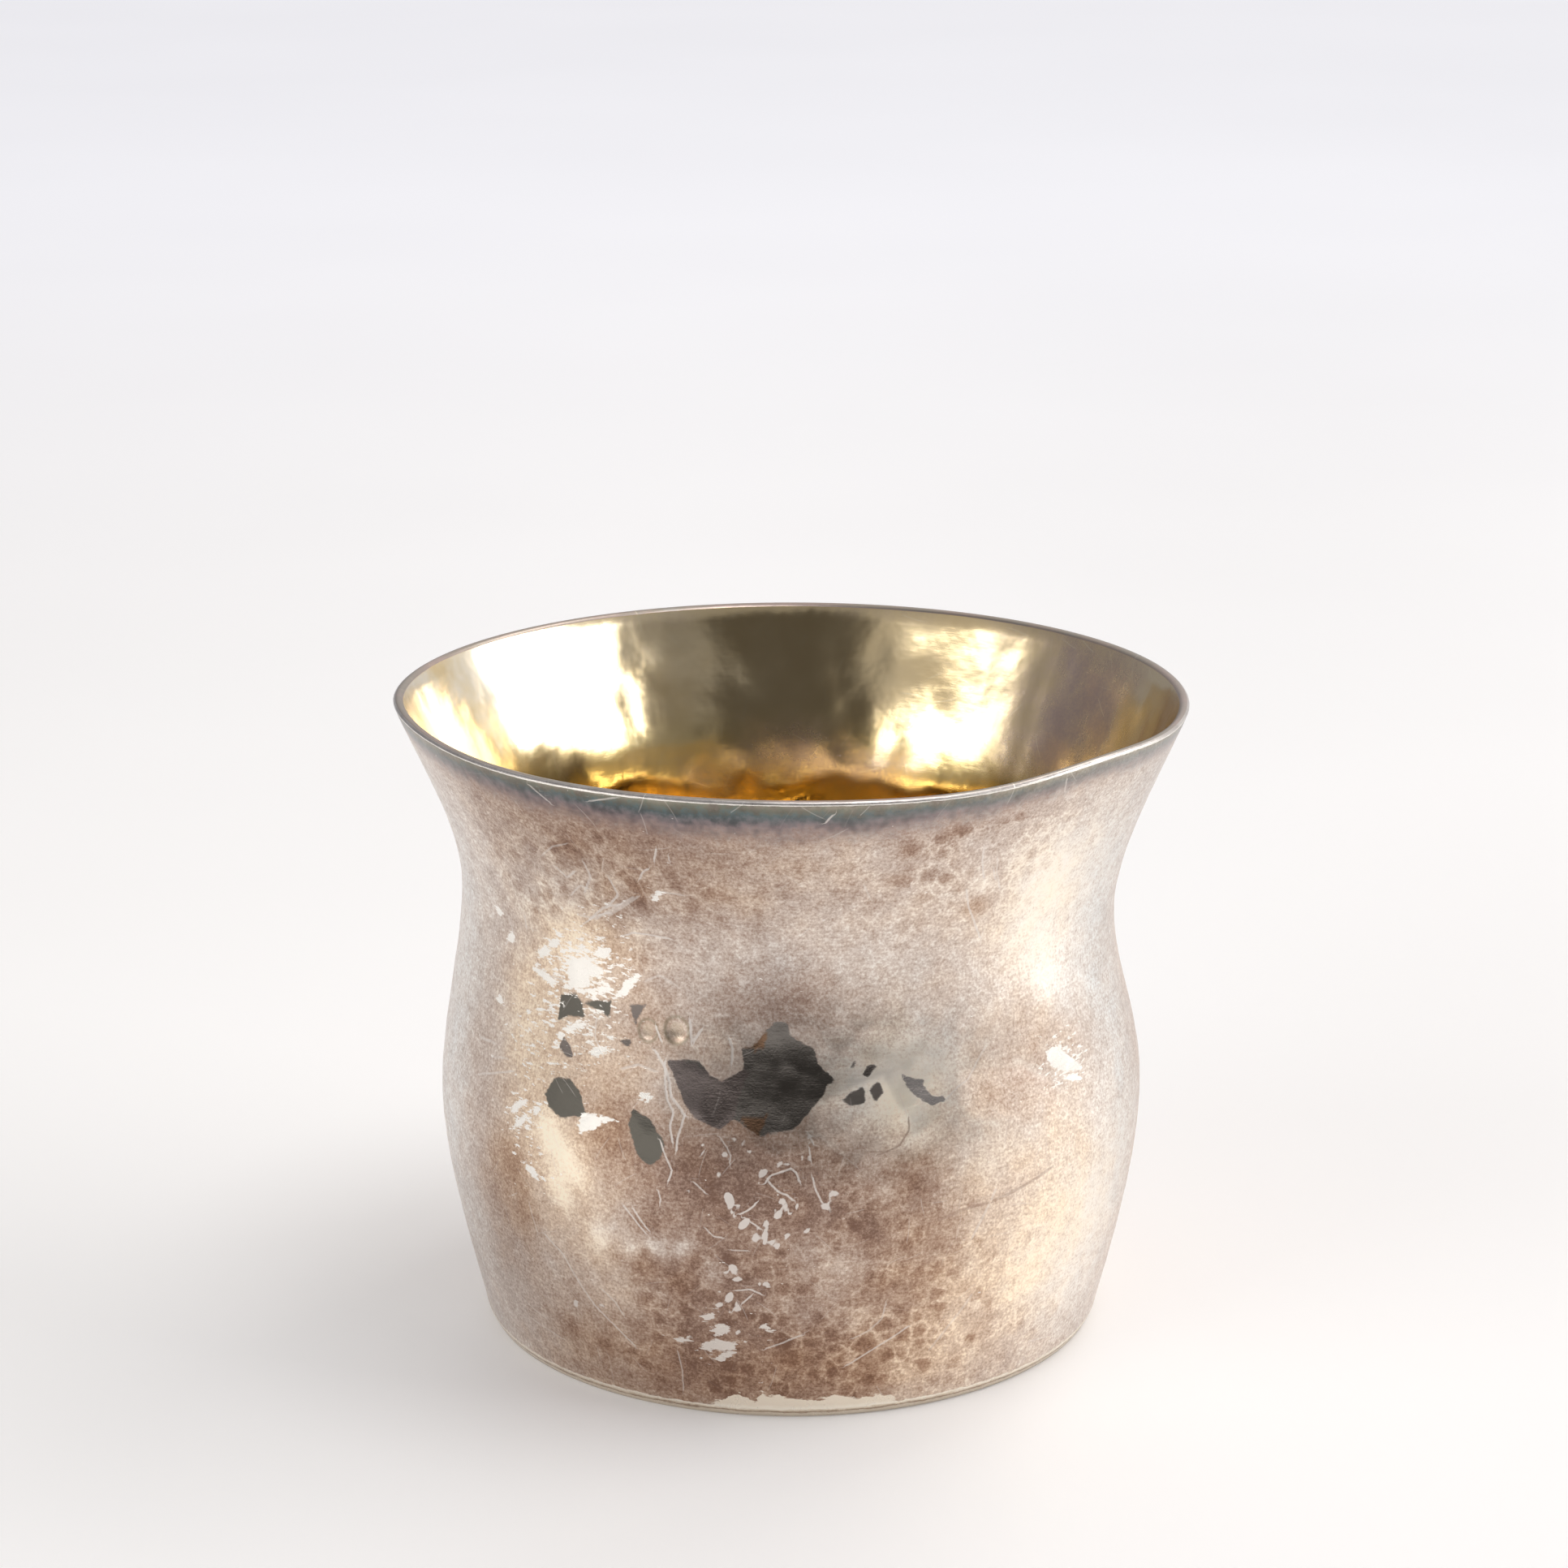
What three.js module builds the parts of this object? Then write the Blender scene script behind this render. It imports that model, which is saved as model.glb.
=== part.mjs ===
// Kiddush cup: a beaker raised by hand from one sheet of silver and gilded inside.
// It has a flared lip, a soft waist, a low belly and a flat base that it stands on.
// Millimetres, +Z up, origin at the middle of the standing ring under the base.
import * as THREE from 'three';

// Outside of the wall, from the base corner up to the lip
const BASE_RADIUS = 29.6;
const BASE_HEIGHT = 0.9;
const BASE_SLOPE = 0.257; // radius gained for each unit of height
const BELLY_RADIUS = 33.5;
const BELLY_HEIGHT = 22.3;
const WAIST_RADIUS = 30.85;
const WAIST_HEIGHT = 41.15;
const RIM_RADIUS = 37;
const RIM_HEIGHT = 59.8; // outer corner of the lip's edge
const LIP_SLOPE = 0.368;

// Sheet metal
const WALL = 0.9;
const FLOOR = 1.2;
const RIM_CROWN = 0.2; // how far the lip's edge rounds up across the sheet
const INNER_CORNER = 3.2; // reach of the bend between wall and floor

// Underside: a narrow bevelled band, a flat ring to stand on, and a shallow dome inside it
const BAND_BEVEL = 0.35;
const EDGE_ROUND = 0.25;
const RING_INNER_RADIUS = 24.5;
const DOME_RISE = 0.5;

// Uneven handwork: rings that lean sideways, a waist off the axis, and a lip that waves
const BELLY_LEAN = 0.55; // the right side is this much higher, the left side lower
const WAIST_LEAN = -1.26;
const WAIST_SHIFT = -0.26;
const degrees = THREE.MathUtils.degToRad;
const RIM_WAVES = [
  // at: angle from the front (-Y) towards the right (+X)
  { at: degrees(-72), rise: 0.6, spread: degrees(22) },
  { at: degrees(25), rise: -0.2, spread: degrees(18) },
  { at: degrees(48), rise: 0.65, spread: degrees(16) },
];

// Fineness
const SEGMENTS = 72;
const WALL_STEPS = [5, 5, 6]; // base to belly, belly to waist, waist to rim
const EDGE_STEPS = 4;
const CORNER_STEPS = 4;
const DOME_STEPS = 4;

// The wall's three stretches, each a cubic between two rings of known radius and slope
const RINGS = [
  { height: BASE_HEIGHT, radius: BASE_RADIUS, slope: BASE_SLOPE },
  { height: BELLY_HEIGHT, radius: BELLY_RADIUS, slope: 0 },
  { height: WAIST_HEIGHT, radius: WAIST_RADIUS, slope: 0 },
  { height: RIM_HEIGHT, radius: RIM_RADIUS, slope: LIP_SLOPE },
];

// A cubic Bezier has the slope of its first and last leg, a third of the stretch long
function wallStretch(low, high) {
  const leg = (high.height - low.height) / 3;
  return new THREE.CubicBezierCurve(
    new THREE.Vector2(low.radius, low.height),
    new THREE.Vector2(low.radius + low.slope * leg, low.height + leg),
    new THREE.Vector2(high.radius - high.slope * leg, high.height - leg),
    new THREE.Vector2(high.radius, high.height),
  );
}

// Points and unit directions up the outside of the wall
function wallStations() {
  const stations = [];
  WALL_STEPS.forEach((steps, i) => {
    const stretch = wallStretch(RINGS[i], RINGS[i + 1]);
    for (let step = i === 0 ? 0 : 1; step <= steps; step += 1) {
      const t = step / steps;
      stations.push({ point: stretch.getPoint(t), along: stretch.getTangent(t) });
    }
  });
  return stations;
}

// The point that lies a given depth inside the sheet from a station on its outside
function inwards({ point, along }, depth) {
  return new THREE.Vector2(point.x - along.y * depth, point.y + along.x * depth);
}

// Dome of the underside, from the middle out to the standing ring, lifted by a floor
function domePoint(radius, lift) {
  const share = Math.min(radius / RING_INNER_RADIUS, 1);
  const height = DOME_RISE * 0.5 * (1 + Math.cos(Math.PI * share));
  return new THREE.Vector2(radius, height + lift);
}

function undersideProfile() {
  const points = [];
  for (let step = 0; step <= DOME_STEPS; step += 1) {
    points.push(domePoint((RING_INNER_RADIUS * step) / DOME_STEPS, 0));
  }
  const foot = BASE_RADIUS - BAND_BEVEL;
  points.push(new THREE.Vector2(foot - EDGE_ROUND, 0));
  points.push(new THREE.Vector2(foot, EDGE_ROUND));
  return points;
}

// The lip's edge lies square to the sheet, from its outer corner to its inner one
function rimProfile(lip) {
  const points = [];
  for (let step = 1; step < EDGE_STEPS; step += 1) {
    const share = step / EDGE_STEPS;
    const crown = RIM_CROWN * Math.sin(Math.PI * share);
    points.push(inwards(lip, WALL * share).addScaledVector(lip.along, crown));
  }
  return points;
}

// From the lip's inner corner down to the middle of the floor
function insideProfile(stations) {
  const wall = stations.map((station) => inwards(station, WALL));
  const bendTop = FLOOR + INNER_CORNER;
  const above = wall.filter((point) => point.y > bendTop).reverse();
  const bendStart = above[above.length - 1];
  const corner = new THREE.Vector2(BASE_RADIUS - WALL, FLOOR);
  const bendEnd = domePoint(corner.x - INNER_CORNER, FLOOR);
  const bend = new THREE.QuadraticBezierCurve(bendStart, corner, bendEnd).getPoints(CORNER_STEPS);
  const floor = [];
  for (let step = DOME_STEPS - 1; step >= 0; step -= 1) {
    floor.push(domePoint((RING_INNER_RADIUS * step) / DOME_STEPS, FLOOR));
  }
  return [...above.slice(0, -1), ...bend, ...floor];
}

// Lean of the ring at a height: nothing at base and rim, most at belly and waist
function leanAt(height) {
  const { lerp, smoothstep } = THREE.MathUtils;
  const toBelly = lerp(0, BELLY_LEAN, smoothstep(height, 0, BELLY_HEIGHT));
  const toWaist = lerp(toBelly, WAIST_LEAN, smoothstep(height, BELLY_HEIGHT, WAIST_HEIGHT));
  return lerp(toWaist, 0, smoothstep(height, WAIST_HEIGHT, RIM_HEIGHT));
}

function rimWave(angle) {
  return RIM_WAVES.reduce((sum, { at, rise, spread }) => {
    const away = Math.atan2(Math.sin(angle - at), Math.cos(angle - at));
    return sum + rise * Math.exp(-((away / spread) ** 2));
  }, 0);
}

// Moves a true turned shape into the uneven one that the hammer left
function unevenHandwork(geometry) {
  const { smoothstep } = THREE.MathUtils;
  const position = geometry.getAttribute('position');
  for (let i = 0; i < position.count; i += 1) {
    const x = position.getX(i);
    const y = position.getY(i);
    const z = position.getZ(i);
    const lipShare = smoothstep(z, WAIST_HEIGHT, RIM_HEIGHT);
    const nearWaist = smoothstep(z, BELLY_HEIGHT, WAIST_HEIGHT) * (1 - lipShare);
    const lean = (leanAt(z) * x) / WAIST_RADIUS;
    const wave = rimWave(Math.atan2(x, -y)) * lipShare;
    position.setXYZ(i, x + WAIST_SHIFT * nearWaist, y, z + lean + wave);
  }
}

function makeCup() {
  const stations = wallStations();
  const lip = stations[stations.length - 1];
  const profile = [
    ...undersideProfile(),
    ...stations.map(({ point }) => point),
    ...rimProfile(lip),
    ...insideProfile(stations),
  ];
  const geometry = new THREE.LatheGeometry(profile, SEGMENTS);
  geometry.rotateX(Math.PI / 2);
  unevenHandwork(geometry);
  geometry.computeVertexNormals();
  const silver = new THREE.MeshStandardMaterial({ color: 0xb9a395, roughness: 0.35, metalness: 1 });
  const cup = new THREE.Mesh(geometry, silver);
  cup.name = 'cup';
  return cup;
}

const kiddushCup = new THREE.Group();
kiddushCup.add(makeCup());

export default kiddushCup;
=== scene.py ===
import math

import bpy
import numpy as np
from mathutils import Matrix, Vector


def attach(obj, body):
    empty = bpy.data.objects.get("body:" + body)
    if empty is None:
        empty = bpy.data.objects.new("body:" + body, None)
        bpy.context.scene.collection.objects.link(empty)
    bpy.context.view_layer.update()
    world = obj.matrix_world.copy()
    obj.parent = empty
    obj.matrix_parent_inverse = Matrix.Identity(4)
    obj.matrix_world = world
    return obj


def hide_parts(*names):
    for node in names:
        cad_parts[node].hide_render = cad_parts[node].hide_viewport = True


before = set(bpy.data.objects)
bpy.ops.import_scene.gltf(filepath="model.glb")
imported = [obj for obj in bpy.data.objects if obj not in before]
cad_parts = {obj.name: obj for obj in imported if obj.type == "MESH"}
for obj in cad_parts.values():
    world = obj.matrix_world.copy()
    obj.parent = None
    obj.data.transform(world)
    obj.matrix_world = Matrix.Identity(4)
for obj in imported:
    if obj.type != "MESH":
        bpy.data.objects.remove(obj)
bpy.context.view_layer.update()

# Kiddush cup: a hammered silver beaker, tarnished outside and gilded inside.
# Lengths are millimetres until a mesh or a light is made; angles run from the front towards the right.
MM = 0.001

# Wall, from the base corner up to the lip
BASE_RADIUS, BASE_HEIGHT, BASE_SLOPE = 29.6, 0.9, 0.257
BELLY_RADIUS, BELLY_HEIGHT = 33.5, 22.3
WAIST_RADIUS, WAIST_HEIGHT = 30.85, 41.15
RIM_RADIUS, RIM_HEIGHT, LIP_SLOPE = 37.0, 59.8, 0.368
RINGS = (
    (BASE_HEIGHT, BASE_RADIUS, BASE_SLOPE),
    (BELLY_HEIGHT, BELLY_RADIUS, 0.0),
    (WAIST_HEIGHT, WAIST_RADIUS, 0.0),
    (RIM_HEIGHT, RIM_RADIUS, LIP_SLOPE),
)

# Sheet metal and underside
WALL, FLOOR, INNER_CORNER = 0.9, 1.2, 3.2
RIM_CROWN = 0.15
LIP_WEAR = 0.35  # how far the inner corner of the lip is worn down
BAND_BEVEL, EDGE_ROUND = 0.35, 0.25
RING_INNER_RADIUS, DOME_RISE = 24.5, 0.5

# Uneven handwork
BELLY_LEAN, WAIST_LEAN, WAIST_SHIFT = 0.55, -1.26, -0.26
RIM_WAVES = ((-72, 0.6, 22), (25, -0.2, 18), (48, 0.65, 16))  # angle, rise, spread

# Fineness of the mesh: the front of the outside has the closest columns
FRONT_HALF, FRONT_COLUMNS, BACK_COLUMNS, INSIDE_COLUMNS = 62.0, 300, 110, 320
WALL_ROWS, INSIDE_ROWS = 170, 46
SURFACE_RADIUS = 32.0  # one radius for every angle that is measured along the wall

# Regions of the profile
UNDERSIDE, BAND, OUTSIDE, RIM, INSIDE, WELL = range(6)

# Finishes, in the order in which the cup holds them
TARNISHED, BARE_LIP, GILDED = range(3)

# Hammer work: spacing of the blows, and the ranges of their reach and depth
OUTSIDE_BLOWS = (2.1, (1.4, 2.4), (0.02, 0.06))
INSIDE_BLOWS = (4.4, (3.0, 4.6), (0.08, 0.18))
INSIDE_FINE_BLOWS = (2.6, (1.7, 2.8), (0.03, 0.08))
BROAD_DENTS = 110

# Listed marks: how far around one the distance to it is kept, and what stands for no mark
MARK_REACH, NO_MARK = 2.0, 9.0
OFF_WALL = -9.0  # height of the rows that hold no marks
LINE_SETS = 3  # pairs of layers that the lines are shared out over

# Hammer marks that show in the tarnish: how many to the metre, and how far their borders wander
TARNISH_CELLS, TARNISH_WANDER = 640.0, 0.0011

# Camera: focal length, sideways shift, distance to the front, height, and tilt down in degrees
CAMERA_LENS, CAMERA_SHIFT = 87.86, -0.0047
CAMERA_FRONT, CAMERA_HEIGHT, CAMERA_TILT = 346.0, 149.5, 15.87

# Soft lights: name, azimuth, elevation, then distance, width and height in metres, brightness, colour
LIGHTS = (
    ("right_light", 91, 23, 0.55, 0.52, 0.28, 4.0, (1.0, 0.98, 0.95)),
    ("left_light", -58, 18.5, 0.8, 0.56, 0.22, 4.2, (1.0, 0.99, 0.97)),
    ("back_light", 138, 50, 0.7, 0.22, 0.26, 2.8, (1.0, 0.98, 0.94)),
    ("top_light", 60, 75, 0.9, 0.34, 0.34, 3.5, (1.0, 1.0, 1.0)),
)
# Tones of the room around the cup: azimuth, elevation, full within an angle, gone past another, colour
ROOM_TONE = (0.30, 0.30, 0.31)
ROOM_PATCHES = (
    (125, 20, 20, 70, (0.72, 0.71, 0.70)),
    (165, 48, 18, 52, (0.86, 0.84, 0.82)),
    (-54, 26, 8, 34, (0.48, 0.47, 0.46)),
    (42, 21, 4, 18, (0.20, 0.195, 0.19)),
    (0, 14, 26, 35, (0.085, 0.08, 0.075)),
)

# Dark patches, partly oxide and partly a painted reflection: the bare silver there mirrors the dark room,
# and that darkness is painted in as near-black oxide. Shade, and an outline of (angle, height). The shades
# run from copper red at 0 over near black at 0.25, dark grey at 0.5 and olive grey at 0.75 to slate at 1.
OXIDE_AND_REFLECTION_PATCHES = (
    (0.25, ((-20, 34.2), (-16, 34.4), (-14.5, 34.4), (-12.5, 33.3), (-10.8, 32.9), (-7.2, 34.1), (-7.6, 36),
            (-6, 36), (-2.4, 38.3), (0, 38.3), (0.2, 37.2), (4.2, 35.9), (4.6, 34.7), (7.6, 33), (6, 32.9),
            (4.8, 31.7), (0.6, 29.1), (-4.8, 28.4), (-8.6, 29.8), (-11, 28.8), (-15.2, 29.7), (-16.8, 30.8),
            (-18.4, 32.7))),
    (0.75, ((-41.2, 37.6), (-37.8, 38.1), (-36.2, 37.4), (-35.6, 36.2), (-38.8, 36.1), (-41.2, 35.4))),
    (0.75, ((-36.2, 37.6), (-33.2, 38), (-30.4, 38.3), (-30.6, 36.7), (-32.2, 37.2), (-34.2, 37.3))),
    (0.6, ((-27, 38.3), (-23.8, 38.6), (-25.3, 37.4), (-25.5, 36.2), (-26.3, 37.3))),
    (0.6, ((-39.8, 34.4), (-38.2, 33.6), (-37, 32.7), (-38.8, 32.7), (-40.6, 33.2))),
    (0.75, ((-40.6, 30.8), (-37.6, 31), (-35.4, 30.3), (-33.6, 28.3), (-38.8, 27.6), (-41.6, 28.2),
            (-42.6, 29.2))),
    (0.75, ((-25.4, 29.7), (-22.4, 29.1), (-19.6, 27.2), (-20.2, 25.9), (-22, 25), (-24.2, 25.8),
            (-26, 28.5))),
    (0.6, ((-28.6, 34.9), (-27.6, 35.3), (-26.2, 35.4), (-26.6, 34.7))),
    (0.3, ((9.6, 34.5), (10.7, 34.9), (10.8, 34.5), (10, 34.3))),
    (0.35, ((12.2, 34.4), (13.6, 34.6), (14.2, 34.3), (12.6, 33.4), (11.8, 33.6))),
    (0.3, ((8, 31.5), (9.6, 32.1), (11.6, 32.6), (12, 31.9), (11.6, 31.1), (9.6, 30.9))),
    (0.35, ((12.6, 32.5), (14.2, 33), (15, 32.1), (13.4, 31), (13, 31.6))),
    (1.0, ((17.8, 33.6), (20.4, 32.9), (21.8, 32.7), (21.6, 32.1), (23.2, 31.1), (25, 31.1), (25, 30.4),
           (22.6, 30.3), (20.4, 31.2), (18.8, 32.3))),
)
# Parts of the largest patch in another shade
OXIDE_AND_REFLECTION_SHADES = (
    (0.5, ((-21, 35), (-10.8, 33.4), (-7.2, 34.3), (-6.4, 33.9), (-7.2, 32.8), (-8.4, 31), (-8.8, 29.4),
           (-11, 28), (-16, 29), (-20, 32))),
    (0.05, ((-7.4, 36.1), (-5.4, 36.9), (-3.6, 37.4), (-3.8, 35.9), (-5.4, 35.7))),
    (0.05, ((-7.6, 29.9), (-3.6, 30.2), (-5, 28.2), (-6.2, 28.4))),
)

# Bare flecks where the tarnish is rubbed off, as (angle, height) outlines
BARE_FLECKS = (
    ((-44.4, 41.9), (-42.2, 42.5), (-41.2, 42.2), (-42.8, 41.6), (-44.2, 41.5)),
    ((-47.4, 40.6), (-45.2, 41.4), (-43.6, 41.2), (-44.6, 40.5), (-46.6, 40.2)),
    ((-39.8, 39.6), (-38.4, 40.9), (-36, 41.5), (-34.4, 41), (-32.4, 40.9), (-32.4, 40.4), (-35, 40.1),
     (-36.6, 39.8), (-38.8, 39.3)),
    ((-34.2, 42.1), (-32.6, 42.8), (-30.6, 42.9), (-31, 42.1), (-33.2, 41.9)),
    ((-39.8, 38.7), (-37.6, 39.5), (-35.4, 39.7), (-34.8, 39.3), (-36.6, 38.8), (-38.8, 38.5)),
    ((-33.8, 38.9), (-31, 39.5), (-30.2, 39.2), (-31.8, 38.8)),
    ((-30.2, 38.6), (-28.2, 39.8), (-27.4, 40.6), (-25.4, 41.2), (-24.8, 40.8), (-26.4, 40), (-27.4, 39.1),
     (-29.4, 38.6)),
    ((-48.6, 39.2), (-45.2, 39), (-41.8, 38.4), (-43.2, 38.1), (-45.8, 38.4), (-48.2, 38.7)),
    ((-39.4, 34.9), (-37.8, 35.5), (-35, 35.9), (-35.4, 35.5), (-37.6, 35.1), (-38.8, 34.6)),
    ((-34.6, 33.4), (-32.6, 34.2), (-29.8, 34.3), (-29.4, 34.1), (-31.4, 33.8), (-32.4, 33.3)),
    ((-25, 30.5), (-23.8, 31.1), (-22, 31), (-22.8, 30.6), (-24, 30.5)),
    ((-35.2, 27.3), (-34.6, 28.2), (-33.2, 28.7), (-31, 28.6), (-27.8, 28.6), (-29.6, 28.2), (-31.4, 27.8),
     (-32.6, 27.2), (-34.6, 26.9)),
    ((-50.6, 26.7), (-49.4, 27.5), (-46.8, 28.2), (-46, 28), (-48, 27.3), (-49.6, 26.5)),
    ((-45.4, 27.6), (-43.6, 28), (-43.2, 27.5), (-44.6, 27.2)),
    ((-50, 25), (-48.4, 26.1), (-46.6, 26.9), (-46.2, 26.6), (-47.6, 25.8)),
    ((-59.8, 43), (-57.8, 43), (-56.6, 42.6), (-58.6, 42.4)),
    ((-22, 49.1), (-20.6, 49.9), (-19.2, 49.9), (-21, 48.9)),
    ((-56.6, 40.7), (-54.2, 41.3), (-53, 40.7), (-54.8, 40.3)),
    ((-58.8, 34.9), (-57, 35.4), (-55.6, 35), (-56.8, 34.6)),
    ((46.4, 32.8), (49.4, 32.9), (51.6, 31.6), (54.2, 30.4), (55, 29.7), (50.8, 30.1), (47.2, 31.2)),
    ((49.2, 29.9), (52.8, 29.4), (54.6, 28.5), (51.8, 28.9)),
    ((-46, 22.6), (-44.2, 22.3), (-42.4, 21.6), (-43.4, 21.4), (-45.2, 21.8)),
    ((-15.6, 7.1), (-13.8, 8), (-12.2, 8.5), (-10.6, 8.1), (-9.2, 8.1), (-9.4, 7.5), (-11.2, 7), (-12.8, 7.1),
     (-14.6, 7)),
    ((-13.6, 6.2), (-11.8, 6.7), (-10.4, 7.3), (-9.2, 7.2), (-10, 6.5), (-11.8, 6)),
    ((-13, 9.2), (-12, 9.8), (-11, 10.2), (-9.8, 9.8), (-10.2, 9.2), (-11.2, 8.9), (-12.4, 8.9)),
    ((-14.8, 10.6), (-13.4, 11.2), (-12.2, 11.3), (-12.6, 10.6), (-14.2, 10.3)),
    ((-5.2, 9.9), (-4.2, 10.2), (-2.4, 9.5), (-4, 9.6)),
    ((-19.6, 7.7), (-18, 8.2), (-16.6, 8.2), (-16, 7.9), (-17.6, 7.8), (-18.8, 7.3)),
    # a ragged strip along the middle of the base
    ((-13.6, 1.3), (-10.8, 2), (-9, 2.5), (-7.6, 2), (-7, 1.6), (-5.8, 1.7), (-5.1, 2.9), (-4.2, 2.3),
     (-2.2, 2.5), (-1.2, 2.1), (4.8, 1.9), (8, 2.3), (12, 1.8), (13.4, 2), (17.2, 1.8), (19.2, 1.1),
     (25, 0.6), (-16, 0.6)),
)

# Bare drops: angle, height, half size
BARE_DROPS = (
    (-9.4, 22.7, 0.52), (-9.2, 22.1, 0.34), (-7.2, 20.4, 0.5), (-4.2, 25.2, 0.37), (-1.6, 26.1, 0.26),
    (-0.6, 26, 0.21), (-1.4, 22.6, 0.31), (-0.8, 22, 0.26), (0.8, 22.1, 0.23), (-3.8, 20.4, 0.31),
    (-5.4, 19.1, 0.37), (-4, 19.4, 0.34), (-4, 18.8, 0.31), (-3, 18.6, 0.26), (-2.2, 18.3, 0.29),
    (-0.6, 19.4, 0.26), (2.4, 19.8, 0.29), (-2, 21.3, 0.37), (-9, 16, 0.39), (-8.4, 14.9, 0.37),
    (-9.8, 12.9, 0.47), (-11.4, 12.1, 0.34), (-8.6, 11.8, 0.39), (-3.8, 14.4, 0.34), (-8.8, 28.2, 0.23),
    (-10.2, 26.7, 0.26), (-6.4, 27.1, 0.23), (-7.2, 27.9, 0.21), (-13.6, 27.4, 0.18), (-13.6, 26.6, 0.18),
    (-15.8, 23.3, 0.18), (-38.2, 9.3, 0.34), (-32.6, 10, 0.26), (-8.6, 9.3, 0.26), (-11, 24.9, 0.23),
    (3, 28.4, 0.23), (2.8, 26.5, 0.26), (6.4, 23.2, 0.37), (5.2, 22, 0.37),
)

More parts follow.
